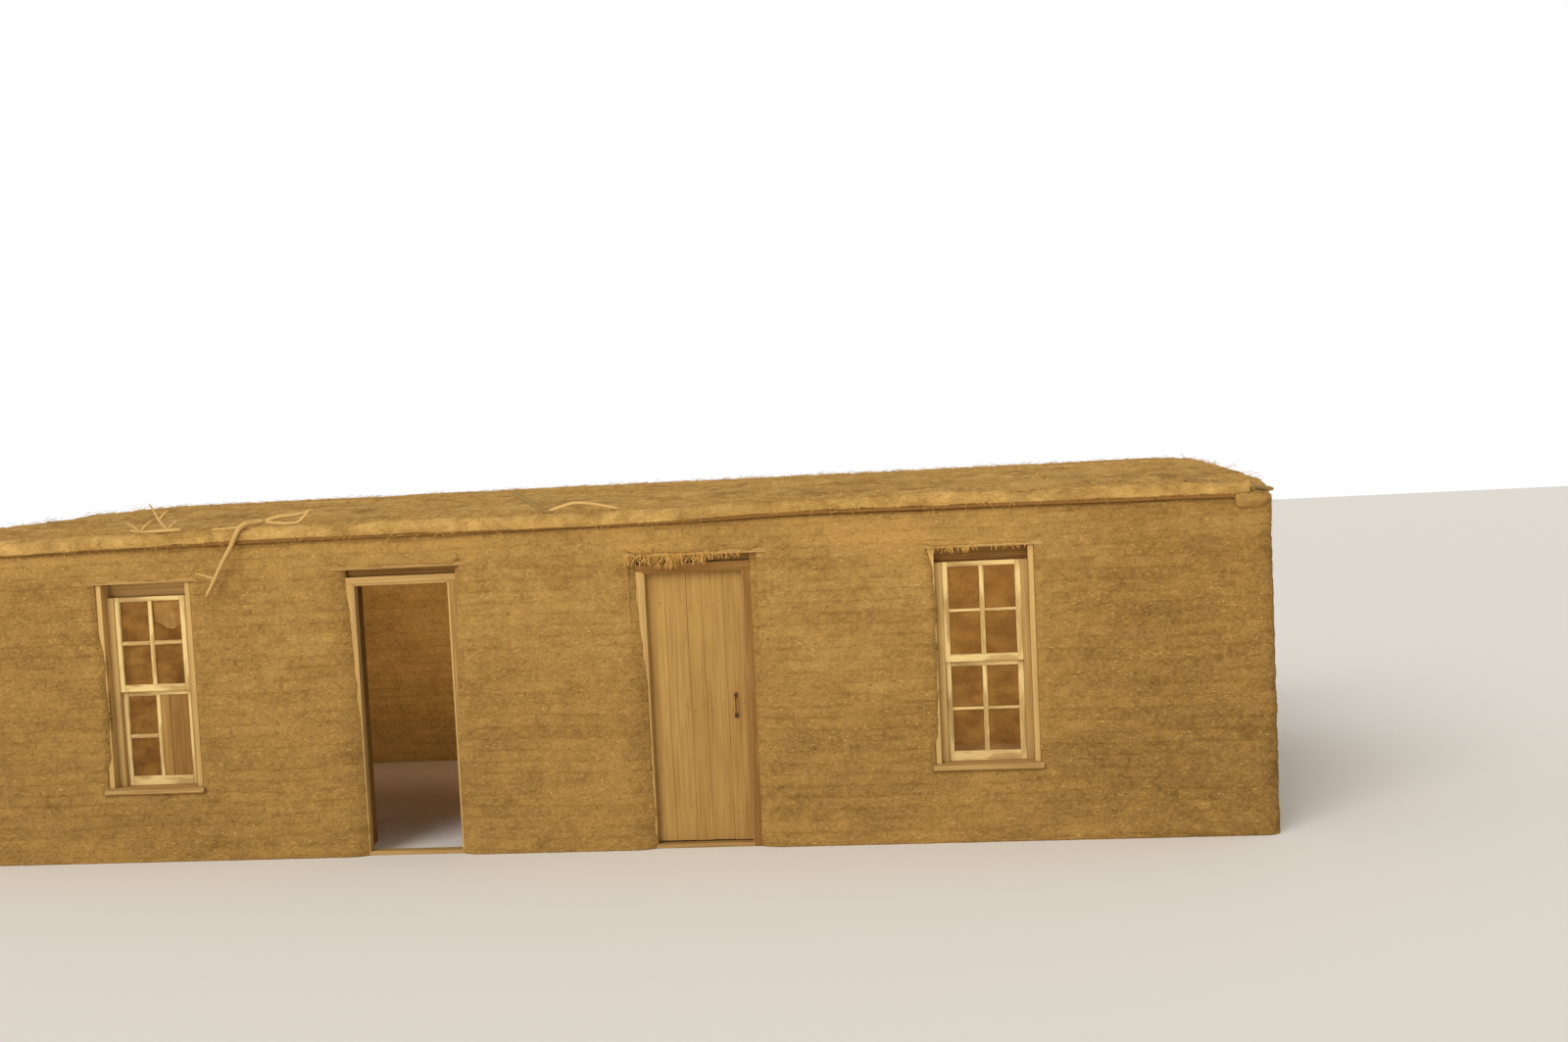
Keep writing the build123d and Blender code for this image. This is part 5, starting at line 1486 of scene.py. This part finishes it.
class TURFHOUSE_OT_windows(bpy.types.Operator):
    """Build the windows: plank frames, weathered sills, barred sashes, panes and the muslin"""

    bl_idname = "turfhouse.windows"
    bl_label = "Windows"

    def execute(self, context):
        timber = context.scene.turf_house_timber
        for number, side in enumerate(("left", "right")):
            # The left window's cross bars look heavier
            cross_bar = timber.cross_bar * (1.7 if side == "left" else 1.0)
            self.frame(side, 30 + number, timber.edge_wear)
            self.sill(side, 34 + number)
            for level in BOTTOM_RAILS:
                self.sash(side, level, 38 + number, timber.upright_bar, cross_bar)
        for number, side in enumerate(("left", "right")):
            self.panes(side, 52 + number)
        self.curtain()
        return {"FINISHED"}

    def frame(self, side, seed, wear):
        """Jambs, the strips that the sashes stand between, and the board over them."""
        low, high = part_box("window_frame_" + side)
        sash_low, sash_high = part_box("upper_sash_" + side)
        store = Store(seed)
        jamb, play, head_setback = 38 * MM, 1 * MM, 60 * MM
        strip_front = sash_low.y - 10 * MM
        strip_back = strip_front + 80 * MM
        # Painted light and shade in the tones: both windows' left jambs and left strips are made pale, which
        # offsets the shade in the left reveals, and the right window's head board is made dark as painted
        # shade under its lintel
        left_tone, right_tone, head_tone = (0.95, 0.8, 0.6) if side == "left" else (0.95, 0.95, 0.1)
        inner_left, inner_right = low.x + jamb, high.x - jamb
        store.board((low.x, low.y, low.z), (inner_left, high.y, high.z), 2, wear, 6, tone=left_tone)
        store.board((inner_right, low.y, low.z), high, 2, wear, 6, tone=right_tone)
        for x0, x1, tone in (
            (inner_left, sash_low.x - 0.5 * MM, left_tone), (sash_high.x + 0.5 * MM, inner_right, 0.5)
        ):
            store.board((x0, strip_front, low.z), (x1, strip_back, sash_high.z), 2, wear, 5, tone=tone)
        store.board((inner_left, strip_front + head_setback, sash_high.z + play),
                    (inner_right, strip_back, high.z), 0, wear, 3, tone=head_tone)
        name = "window_frame_" + side
        store.finish(name + "_wood", "plank", "house", "weathered_plank", name)

    def sill(self, side, seed):
        """Sill plank with a weathered slope in front of the frame and ears past its ends."""
        low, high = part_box("window_sill_" + side)
        frame_low, frame_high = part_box("window_frame_" + side)
        store = Store(seed)
        round_off, fall = 5 * MM, 8 * MM
        ear = frame_low.x - low.x
        foot = [(low.y + round_off, low.z)]
        nose = [(low.y, low.z + round_off), (low.y, high.z - fall - round_off),
                (low.y + round_off, high.z - fall)]
        body = nose + [(frame_low.y, high.z), (high.y, high.z), (high.y, low.z)] + foot
        front = nose + [(FRONT - 1 * MM, high.z - 3 * MM), (FRONT - 1 * MM, low.z)] + foot
        outline_board(store, body, frame_low.x, frame_high.x)
        outline_board(store, front, low.x, low.x + ear, 2)
        outline_board(store, front, high.x - ear, high.x, 2)
        name = "window_sill_" + side
        store.finish(name + "_wood", "plank", "house", "weathered_plank", name)

    def sash(self, side, level, seed, upright, cross):
        """A sash: stiles, rails, an upright and a cross bar, and putty round each light."""
        low, high, middle, foot, waist, head = sash_lines(side, level)
        store = Store(seed * 3 + len(level))
        wear = 3 * MM
        front, back = low.y + 0.5 * MM, high.y
        bar_front, bar_back = low.y + 3 * MM, high.y - 5 * MM
        left, right = low.x + STILE, high.x - STILE
        store.board(low, (left, back, high.z), 2, wear, 5)
        store.board((right, low.y, low.z), high, 2, wear, 5)
        store.board((left, front, low.z), (right, back, foot), 0, wear, 4)
        store.board((left, front, head), (right, back, high.z), 0, wear, 4)
        lights = [(left, middle - upright / 2), (middle + upright / 2, right)]
        store.board((lights[0][1], bar_front, foot), (lights[1][0], bar_back, head), 2, wear, 4)
        if side == "left" and level == "lower":
            # The right-hand lights are boarded up, with a narrow lighter board beside a wide one
            x0, x1 = lights.pop()
            split = x0 + (x1 - x0) * 0.34
            filling = Store(seed * 5)
            for start, stop, setback, tone in (
                (x0 + 1 * MM, split - 1 * MM, 2 * MM, 0.4), (split, x1 - 1 * MM, 4 * MM, 0.15)
            ):
                filling.board((start, bar_front + setback, foot), (stop, bar_back, head), 2, wear, 4,
                              tone=tone)
            filling.finish("sash_boarding", "door", "house", "weathered_plank")
        putty = 3 * MM
        y0, y1 = low.y + 6 * MM, low.y + 13 * MM
        for x0, x1 in lights:
            under, over = waist - cross / 2, waist + cross / 2
            store.board((x0, bar_front + 1 * MM, under), (x1, bar_back, over), 0, wear, 3)
            for z0, z1 in ((foot, under), (over, head)):
                store.board((x0, y0, z0), (x1, y1, z0 + putty), 0, 1 * MM, 2)
                store.board((x0, y0, z1 - putty), (x1, y1, z1), 0, 1 * MM, 2)
                store.board((x0, y0, z0 + putty), (x0 + putty, y1, z1 - putty), 2, 1 * MM, 2)
                store.board((x1 - putty, y0, z0 + putty), (x1, y1, z1 - putty), 2, 1 * MM, 2)
        name = level + "_sash_" + side
        store.finish(name + "_wood", "sash", "house", "sash_wood", name)

    def panes(self, side, seed):
        """Four panes for each sash but the boarded one, which has two, each set a hair out of true."""
        store = Store(seed)
        for level in BOTTOM_RAILS:
            low, high, middle, foot, waist, head = sash_lines(side, level)
            y = (low.y + high.y) / 2
            columns = [(low.x + STILE, middle), (middle, high.x - STILE)]
            if side == "left" and level == "lower":
                columns.pop()
            for x0, x1 in columns:
                for z0, z1 in ((foot, waist), (waist, head)):
                    tilt = store.chance.uniform(-0.8, 0.8) * MM
                    ring = [(x0, y + tilt), (x1, y - tilt), (x1, y - tilt + GLASS), (x0, y + tilt + GLASS)]
                    rings = [[(px, py, z0) for px, py in ring], [(px, py + tilt, z1) for px, py in ring]]
                    store.rings(rings, [0, z1 - z0], [(middle, y, z0), (middle, y, z1)])
        store.finish("panes_" + side, "glass", "house", "window_glass", "window_panes_" + side)

    def curtain(self):
        """A short scalloped piece of muslin, gathered on a rod behind the left window's upper right light."""
        low, high, middle, foot, waist, head = sash_lines("left", "upper")
        behind = high.y + 12 * MM
        rod_height = high.z - 20 * MM
        rod_radius = 4 * MM
        rod = Store(60)
        rod.limb([(low.x - 1 * MM, behind, rod_height), (middle, behind, rod_height - 1 * MM),
                  (high.x + 1 * MM, behind, rod_height)], (rod_radius, rod_radius), 8)
        rod.finish("curtain_rod", "rough", "house", "weathered_plank")
        left, right, top = middle + 12 * MM, high.x - 6 * MM, rod_height + 6 * MM
        width, drop, scallop, fold = right - left, 0.235, 55 * MM, 6 * MM
        columns, rows = 48, 40
        across = columns + 1
        layer = across * (rows + 1)
        vertices, faces = [], []
        for cloth in (0.0, CLOTH):
            for v in between(0, 1, rows):
                for u in between(0, 1, columns):
                    wave = math.sin(u * math.pi * 9 + 0.8 * math.sin(u * 7)) * fold * (0.5 + 0.5 * v)
                    hem = scallop * (0.5 - 0.5 * math.cos(u * 2 * math.pi)) - scallop
                    vertices.append((left + width * u, behind + wave + cloth, top - v * (drop + hem)))
        for j in range(rows):
            for a in range(j * across, j * across + columns):
                faces.append((a, a + across, a + across + 1, a + 1))
                faces.append((layer + a, layer + a + 1, layer + a + across + 1, layer + a + across))
        rim = list(range(across)) + [j * across + columns for j in range(1, rows + 1)]
        rim += [rows * across + i for i in reversed(range(columns))]
        rim += [j * across for j in reversed(range(1, rows))]
        faces += [(a, b, layer + b, layer + a) for a, b in zip(rim, rim[1:] + rim[:1])]
        piece = object_from("scalloped_muslin", vertices, faces, materials["muslin"])
        close_outward(piece)
        halfway = vertices[rows // 2 * across : (rows // 2 + 1) * across]
        cloth_width = sum((Vector(b) - Vector(a)).length for a, b in zip(halfway, halfway[1:]))
        uv = piece.data.uv_layers.new(name="cloth")
        for loop in piece.data.loops:
            place = piece.data.vertices[loop.vertex_index].co
            uv.data[loop.index].uv = ((place.x - left) / width * cloth_width, rod_height - place.z)
        piece.data.polygons.foreach_set("use_smooth", [True] * len(piece.data.polygons))
        attach(piece, "house", "sash_wood")


# Doorways

BATTEN_HEIGHT = 95 * MM


class TURFHOUSE_OT_doors(bpy.types.Operator):
    """Build both doorways' frames, and the plank leaf with its battens, nails and iron"""

    bl_idname = "turfhouse.doors"
    bl_label = "Doors"

    def execute(self, context):
        wear = context.scene.turf_house_timber.edge_wear
        # Painted light and shade in the tones: the open doorway's right jamb is darkened as painted shade and
        # its right stop made pale as a painted highlight along its edge; the closed door's head is darkened
        # as painted shade under its lintel, and its right jamb and stop are dark
        self.frame("doorway_frame", 70, wear, (0.75, 0.3, 0.6), 0.95)
        self.frame("door_frame", 71, wear, (0.75, 0.0, 0.0), 0.2)
        self.battens(self.leaf())
        paint_nodes("iron", "door_strap_hinges", "door_pintles", "door_pull")
        self.strap_nails()
        return {"FINISHED"}

    def frame(self, name, seed, wear, tones, stop_tone):
        """Jambs, head, threshold, the stops nailed inside them and the packing over the head.
        The tones are those of the left jamb, the right jamb and the head; stop_tone is the right stop's."""
        low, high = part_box(name)
        left, right, head = tones
        store = Store(seed)
        jamb, stop, threshold, hair = 50 * MM, 15 * MM, 30 * MM, 0.3 * MM
        leaf_low, leaf_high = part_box("door_leaf")
        back = leaf_low.y - 5 * MM
        head_foot = leaf_high.z + 8 * MM
        head_top = head_foot + jamb
        packing_front = high.y - (high.y - low.y) / 2
        inner_left, inner_right = low.x + jamb, high.x - jamb
        foot, stop_head = low.z + threshold, head_foot - stop
        for corner, other, axis, bevel, stations, tone in (
            ((low.x, low.y, low.z), (inner_left, high.y, head_foot - hair), 2, wear, 6, left),
            ((inner_right, low.y, low.z), (high.x, high.y, head_foot - hair), 2, wear, 6, right),
            ((low.x, low.y, head_foot), (high.x, high.y, head_top), 0, wear, 5, head),
            ((inner_left, low.y, low.z), (inner_right, high.y, foot), 0, 4 * MM, 4, None),
            # The packing's dark tone is painted shade under the lintel
            ((low.x, packing_front, head_top), (high.x, high.y, high.z - hair), 0, wear, 4, 0.15),
            ((inner_left, low.y, foot), (inner_left + stop, back, stop_head), 2, wear, 6, left),
            ((inner_right - stop, low.y, foot), (inner_right, back, stop_head), 2, wear, 6, stop_tone),
            ((inner_left, low.y, stop_head), (inner_right, back, head_foot - hair), 0, wear, 4, head),
        ):
            store.board(corner, other, axis, bevel, stations, tone=tone)
        store.finish(name + "_wood", "plank", "house", "weathered_plank", name)

    def leaf(self):
        """Five upright boards of uneven width, close together. Gives back where each begins and ends."""
        low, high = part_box("door_leaf")
        store = Store(72)
        edges = [low.x]
        for share in (0.19, 0.22, 0.16, 0.22, 0.21):
            edges.append(edges[-1] + (high.x - low.x) * share)
        for x0, x1 in zip(edges, edges[1:]):
            setback = store.chance.uniform(0.0, 1.2) * MM
            right = high.x if x1 == edges[-1] else x1 - 0.9 * MM
            short = store.chance.uniform(0.0, 5.0) * MM
            store.board((x0, low.y + setback, low.z + short), (right, high.y, high.z - short * 0.5), 2,
                        1.5 * MM, 8, 1 * MM, tone=0.38 + 0.24 * store.chance.random())
        store.finish("door_boards", "door", "door", "door_plank", "door_leaf")
        return list(zip(edges, edges[1:]))

    def battens(self, boards):
        """Three battens behind the boards, and the nails driven through them."""
        low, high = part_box("door_battens")
        store = Store(73)
        half = BATTEN_HEIGHT / 2
        nail_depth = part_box("door_leaf")[0].y - 0.2 * MM
        places = []
        for level in (low.z + half, (low.z + high.z) / 2, high.z - half):
            store.board((low.x, low.y, level - half), (high.x, high.y, level + half), 0, 6 * MM, 5)
            for x0, x1 in boards:
                for across, up in ((0.22, -0.24), (0.78, 0.24)):
                    places.append((x0 + (x1 - x0) * across, nail_depth, level + BATTEN_HEIGHT * up))
        store.finish("door_battens_wood", "door", "door", "door_plank", "door_battens")
        nails("door_nails", "door", places, (0.0, -1.0, 0.0))

    def strap_nails(self):
        """Nails that hold each strap to its batten, and each pintle plate to the jamb."""
        strap_low, strap_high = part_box("door_strap_hinges")
        batten_low, batten_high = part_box("door_battens")
        levels = (batten_low.z + BATTEN_HEIGHT / 2, batten_high.z - BATTEN_HEIGHT / 2)
        places = [(strap_low.x + reach, strap_high.y - 7 * MM, level) for level in levels
                  for reach in (0.06, 0.14, 0.22, 0.3)]
        nails("strap_nails", "door", places, (0.0, 1.0, 0.0), 5 * MM)
        plate_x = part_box("door_pintles")[0].x + 14 * MM
        plate_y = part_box("door_frame")[1].y + 5 * MM
        heads = [(plate_x, plate_y, level + up * MM) for level in levels for up in (-34, 34)]
        nails("pintle_nails", "house", heads, (0.0, 1.0, 0.0), 5 * MM)


# Branches

BRANCH_IN = 70 * MM
BRANCH_OUT = 45 * MM


def branch_points(place, length, start, stop, shares):
    """Points of a limb from shares of its branch's length: along the eave, out over it, and up."""
    points = []
    for number, (along, out, up) in enumerate(shares):
        y = EAVE_EDGE + BRANCH_IN - out * (BRANCH_IN + BRANCH_OUT)
        half = start + (stop - start) * number / (len(shares) - 1)
        z = over_boards(y, EAVE_TURF)[1] + half + 1 * MM + up * length
        points.append(sagged(place + along * length, y, z))
    return points


class TURFHOUSE_OT_branches(bpy.types.Operator):
    """Lay the bleached branches and the pole on the eave"""

    bl_idname = "turfhouse.branches"
    bl_label = "Branches"

    def execute(self, context):
        self.forked()
        self.antler()
        self.stick()
        self.pole()
        return {"FINISHED"}

    def grow_branch(self, node, seed, place, length, limbs, knobs, tones=()):
        """One branch from its limbs, each with its end radii and shares, and how bleached each is."""
        store = Store(seed)
        for number, (start, stop, shares) in enumerate(limbs):
            tone = tones[number] if tones else 0.7
            points = branch_points(place, length, start, stop, shares)
            store.limb(points, (start, stop), 10, knobs, seed + number, tone)
        store.finish(node + "_wood", "branch", "house", "branch", node)

    def forked(self):
        """Forked branch that lies on the turf and hangs down in front of the wall."""
        stem, twig = 20 * MM, 15 * MM
        butt, crook = (0.04, 0.0, 0.035), (-0.405, 0.86, -0.435)
        hanging = [butt, (-0.04, 0.3, 0.035), (-0.1, 0.65, 0.03), (-0.165, 0.84, -0.025),
                   (-0.24, 0.87, -0.165), (-0.31, 0.88, -0.27), crook, (-0.5, 0.84, -0.59)]
        upper = [butt, (0.17, -0.1, 0.07), (0.34, -0.15, 0.085), (0.5, -0.15, 0.125)]
        lower = [butt, (0.14, 0.1, 0.02), (0.25, 0.15, 0.015), (0.35, 0.2, 0.02), (0.42, 0.2, 0.075),
                 (0.47, 0.2, 0.13)]
        left = [(-0.05, 0.35, 0.0), (-0.19, 0.3, 0.0), (-0.31, 0.35, 0.0), (-0.44, 0.4, 0.0)]
        side = [crook, (-0.49, 0.9, -0.4), (-0.58, 0.9, -0.375)]
        self.grow_branch("forked_branch", 80, -2.14, 0.825, [
            (stem, stem * 0.55, hanging), (stem, stem * 0.6, upper), (twig, twig * 0.75, lower),
            (twig, twig * 0.5, left), (twig * 0.75, twig * 0.4, side)], 0.2)

    def antler(self):
        """Short branch with several points."""
        stem, twig = 17 * MM, 13 * MM
        right, crown, left = (0.16, 0.05, 0.0), (0.02, 0.1, 0.19), (-0.34, 0.05, 0.0)
        self.grow_branch("antler_branch", 90, -2.92, 0.43, [
            (stem, stem * 0.6, [(0.42, 0.1, 0.0), right, (-0.1, 0.0, 0.0), left, (-0.52, 0.1, 0.05)]),
            (twig * 1.2, twig * 0.4, [right, crown, (-0.05, 0.1, 0.33), (-0.14, 0.15, 0.5)]),
            (twig, twig * 0.4, [crown, (0.09, 0.05, 0.29), (0.17, 0.05, 0.37)]),
            (twig, twig * 0.4, [right, (0.24, 0.1, 0.11), (0.36, 0.15, 0.2)]),
            (twig, twig * 0.4, [left, (-0.22, 0.1, 0.13), (-0.1, 0.15, 0.22)]),
            (twig, twig * 0.4, [left, (-0.46, 0.15, 0.12), (-0.57, 0.2, 0.2)])], 0.25)

    def stick(self):
        """Bent stick along the eave."""
        raised = [(-0.38, 0.0, 0.21), (-0.2, 0.05, 0.1), (-0.05, 0.1, 0.01), (0.02, 0.1, 0.0)]
        lying = [(-0.03, 0.1, 0.01), (0.09, 0.1, 0.045), (0.24, 0.0, 0.08), (0.45, 0.0, 0.055),
                 (0.69, 0.05, 0.0)]
        self.grow_branch("bent_stick", 100, 0.04, 0.75, [
            (15 * MM, 16 * MM, raised), (13 * MM, 10 * MM, lying)], 0.2, (-0.4, 0.9))

    def pole(self):
        """Straight pole at the slumped corner."""
        low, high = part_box("corner_pole")
        radius, hair = 19 * MM, 4 * MM
        y = (low.y + high.y) / 2
        points = [(x, y, over_boards(y, front_rise(x))[1] + radius + 9 * MM)
                  for x in between(low.x + hair, high.x - hair, 5)]
        store = Store(110)
        store.limb(points, (radius, radius * 0.9), 12, 0.12, 4.0, -0.25)
        store.finish("corner_pole_wood", "branch", "house", "branch", "corner_pole")


# Stage

class TURFHOUSE_OT_stage(bpy.types.Operator):
    """Set the camera, the soft light and the pale floor"""

    bl_idname = "turfhouse.stage"
    bl_label = "Stage"

    def execute(self, context):
        scene = context.scene
        settings = scene.turf_house_stage
        scene.view_settings.view_transform = "Standard"
        self.camera(scene, settings)
        self.lights(scene, settings)
        self.floor()
        return {"FINISHED"}

    def camera(self, scene, settings):
        """The photograph's viewpoint: right of the middle, 14 m back and 2.4 m over the ground."""
        data = bpy.data.cameras.new("view")
        data.sensor_width = 36.0
        data.lens = settings.focal_length
        data.shift_y = settings.lens_rise
        camera = bpy.data.objects.new("view", data)
        scene.collection.objects.link(camera)
        right, up = Vector((0.99334, 0.10511, -0.04709)), Vector((0.04010, 0.06762, 0.99690))
        forward = Vector((-0.10797, 0.99216, -0.06296))
        matrix = camera.matrix_world
        for row in range(3):
            matrix[row][0], matrix[row][1], matrix[row][2] = right[row], up[row], -forward[row]
        matrix.translation = Vector((2.9203, -13.8969, 2.4096))
        camera.matrix_world = matrix
        scene.camera = camera

    def lights(self, scene, settings):
        """A broad soft key light from the upper left, an even pale sky, a low lamp in front that lights
        under the eave, and a lamp behind the front wall that lights the room's far side."""
        key = bpy.data.lights.new("key", "SUN")
        key.energy = settings.sun_strength
        key.angle = math.radians(38)
        room = bpy.data.lights.new("room", "AREA")
        room.energy, room.color, room.size = settings.room_strength, (1.0, 0.83, 0.63), 8.6
        room.spread = math.radians(80)
        bounce = bpy.data.lights.new("bounce", "AREA")
        bounce.energy, bounce.color, bounce.size = settings.bounce_strength, (1.0, 0.93, 0.84), 12.0
        bounce.spread = math.radians(44)
        for data, place, direction in (
            (key, (0.0, 0.0, 0.0), (0.36, 0.8, -0.5)),
            (room, (0.0, FRONT_INSIDE + 0.15, 1.1), (0.0, 1.0, 0.2)),
            (bounce, (0.5, FRONT - 5.4, 0.1), (0.0, 1.0, 0.46)),
        ):
            lamp = bpy.data.objects.new(data.name, data)
            lamp.location = place
            lamp.rotation_euler = Vector(direction).to_track_quat("-Z", "Y").to_euler()
            scene.collection.objects.link(lamp)
            if data.type == "AREA":
                data.shape, data.size_y = "RECTANGLE", 0.5
                lamp.visible_camera = lamp.visible_glossy = lamp.visible_transmission = False
        world = bpy.data.worlds.new("studio")
        scene.world = world
        world.use_nodes = True
        tree = world.node_tree
        tree.nodes.clear()
        # What the camera sees straight, mirrored or through glass is white; the rest is the sky's light
        rays = add(tree, "ShaderNodeLightPath").outputs
        seen = rays["Is Camera Ray"]
        for other in ("Is Glossy Ray", "Is Transmission Ray"):
            seen = add(tree, "ShaderNodeMath", (seen, rays[other]), operation="MAXIMUM")
        fill = add(tree, "ShaderNodeBackground", {
            "Color": (1.0, 0.98, 0.95), "Strength": settings.sky_strength})
        white = add(tree, "ShaderNodeBackground", {"Color": (1.0, 1.0, 1.0), "Strength": 1.0})
        add(tree, "ShaderNodeOutputWorld", {"Surface": add(tree, "ShaderNodeMixShader", (seen, fill, white))})

    def floor(self):
        """A plain pale floor, wide enough for every view."""
        reach = 300.0
        corners = [(-reach, -reach, 0), (reach, -reach, 0), (reach, reach, 0), (-reach, reach, 0)]
        material = material_from("studio_floor", studio_floor)
        piece = object_from("studio_floor", corners, [(0, 1, 2, 3)], material)
        piece.location.z = -0.5 * MM


class TURFHOUSE_PT_panel(bpy.types.Panel):
    """Sidebar panel with every part of the house"""

    bl_label = "Turf House"
    bl_space_type = "VIEW_3D"
    bl_region_type = "UI"
    bl_category = "Turf House"

    def draw(self, context):
        layout = self.layout
        for operator in OPERATORS:
            layout.operator(operator.bl_idname)
        for label, group in (
            ("Walls", context.scene.turf_house_walls), ("Roof", context.scene.turf_house_roof),
            ("Timber", context.scene.turf_house_timber), ("Stage", context.scene.turf_house_stage),
        ):
            box = layout.box()
            box.label(text=label)
            for name in group.__annotations__:
                box.prop(group, name)


GROUPS = {
    "turf_house_walls": TurfHouseWalls,
    "turf_house_roof": TurfHouseRoof,
    "turf_house_timber": TurfHouseTimber,
    "turf_house_stage": TurfHouseStage,
}
OPERATORS = (
    TURFHOUSE_OT_stage,
    TURFHOUSE_OT_walls,
    TURFHOUSE_OT_roof_turf,
    TURFHOUSE_OT_timber,
    TURFHOUSE_OT_windows,
    TURFHOUSE_OT_doors,
    TURFHOUSE_OT_branches,
)


def register():
    """Register the settings, the operators and the panel."""
    for name, group in GROUPS.items():
        bpy.utils.register_class(group)
        setattr(bpy.types.Scene, name, PointerProperty(type=group))
    for operator in OPERATORS:
        bpy.utils.register_class(operator)
    bpy.utils.register_class(TURFHOUSE_PT_panel)


def unregister():
    """Remove what register added."""
    bpy.utils.unregister_class(TURFHOUSE_PT_panel)
    for operator in reversed(OPERATORS):
        bpy.utils.unregister_class(operator)
    for name, group in GROUPS.items():
        delattr(bpy.types.Scene, name)
        bpy.utils.unregister_class(group)


def main():
    """Build everything in order."""
    register()
    make_materials()
    make_trees()
    bpy.ops.turfhouse.stage()
    bpy.ops.turfhouse.walls()
    bpy.ops.turfhouse.roof_turf()
    bpy.ops.turfhouse.timber()
    bpy.ops.turfhouse.windows()
    bpy.ops.turfhouse.doors()
    bpy.ops.turfhouse.branches()
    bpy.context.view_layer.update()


if __name__ == "__main__":
    main()
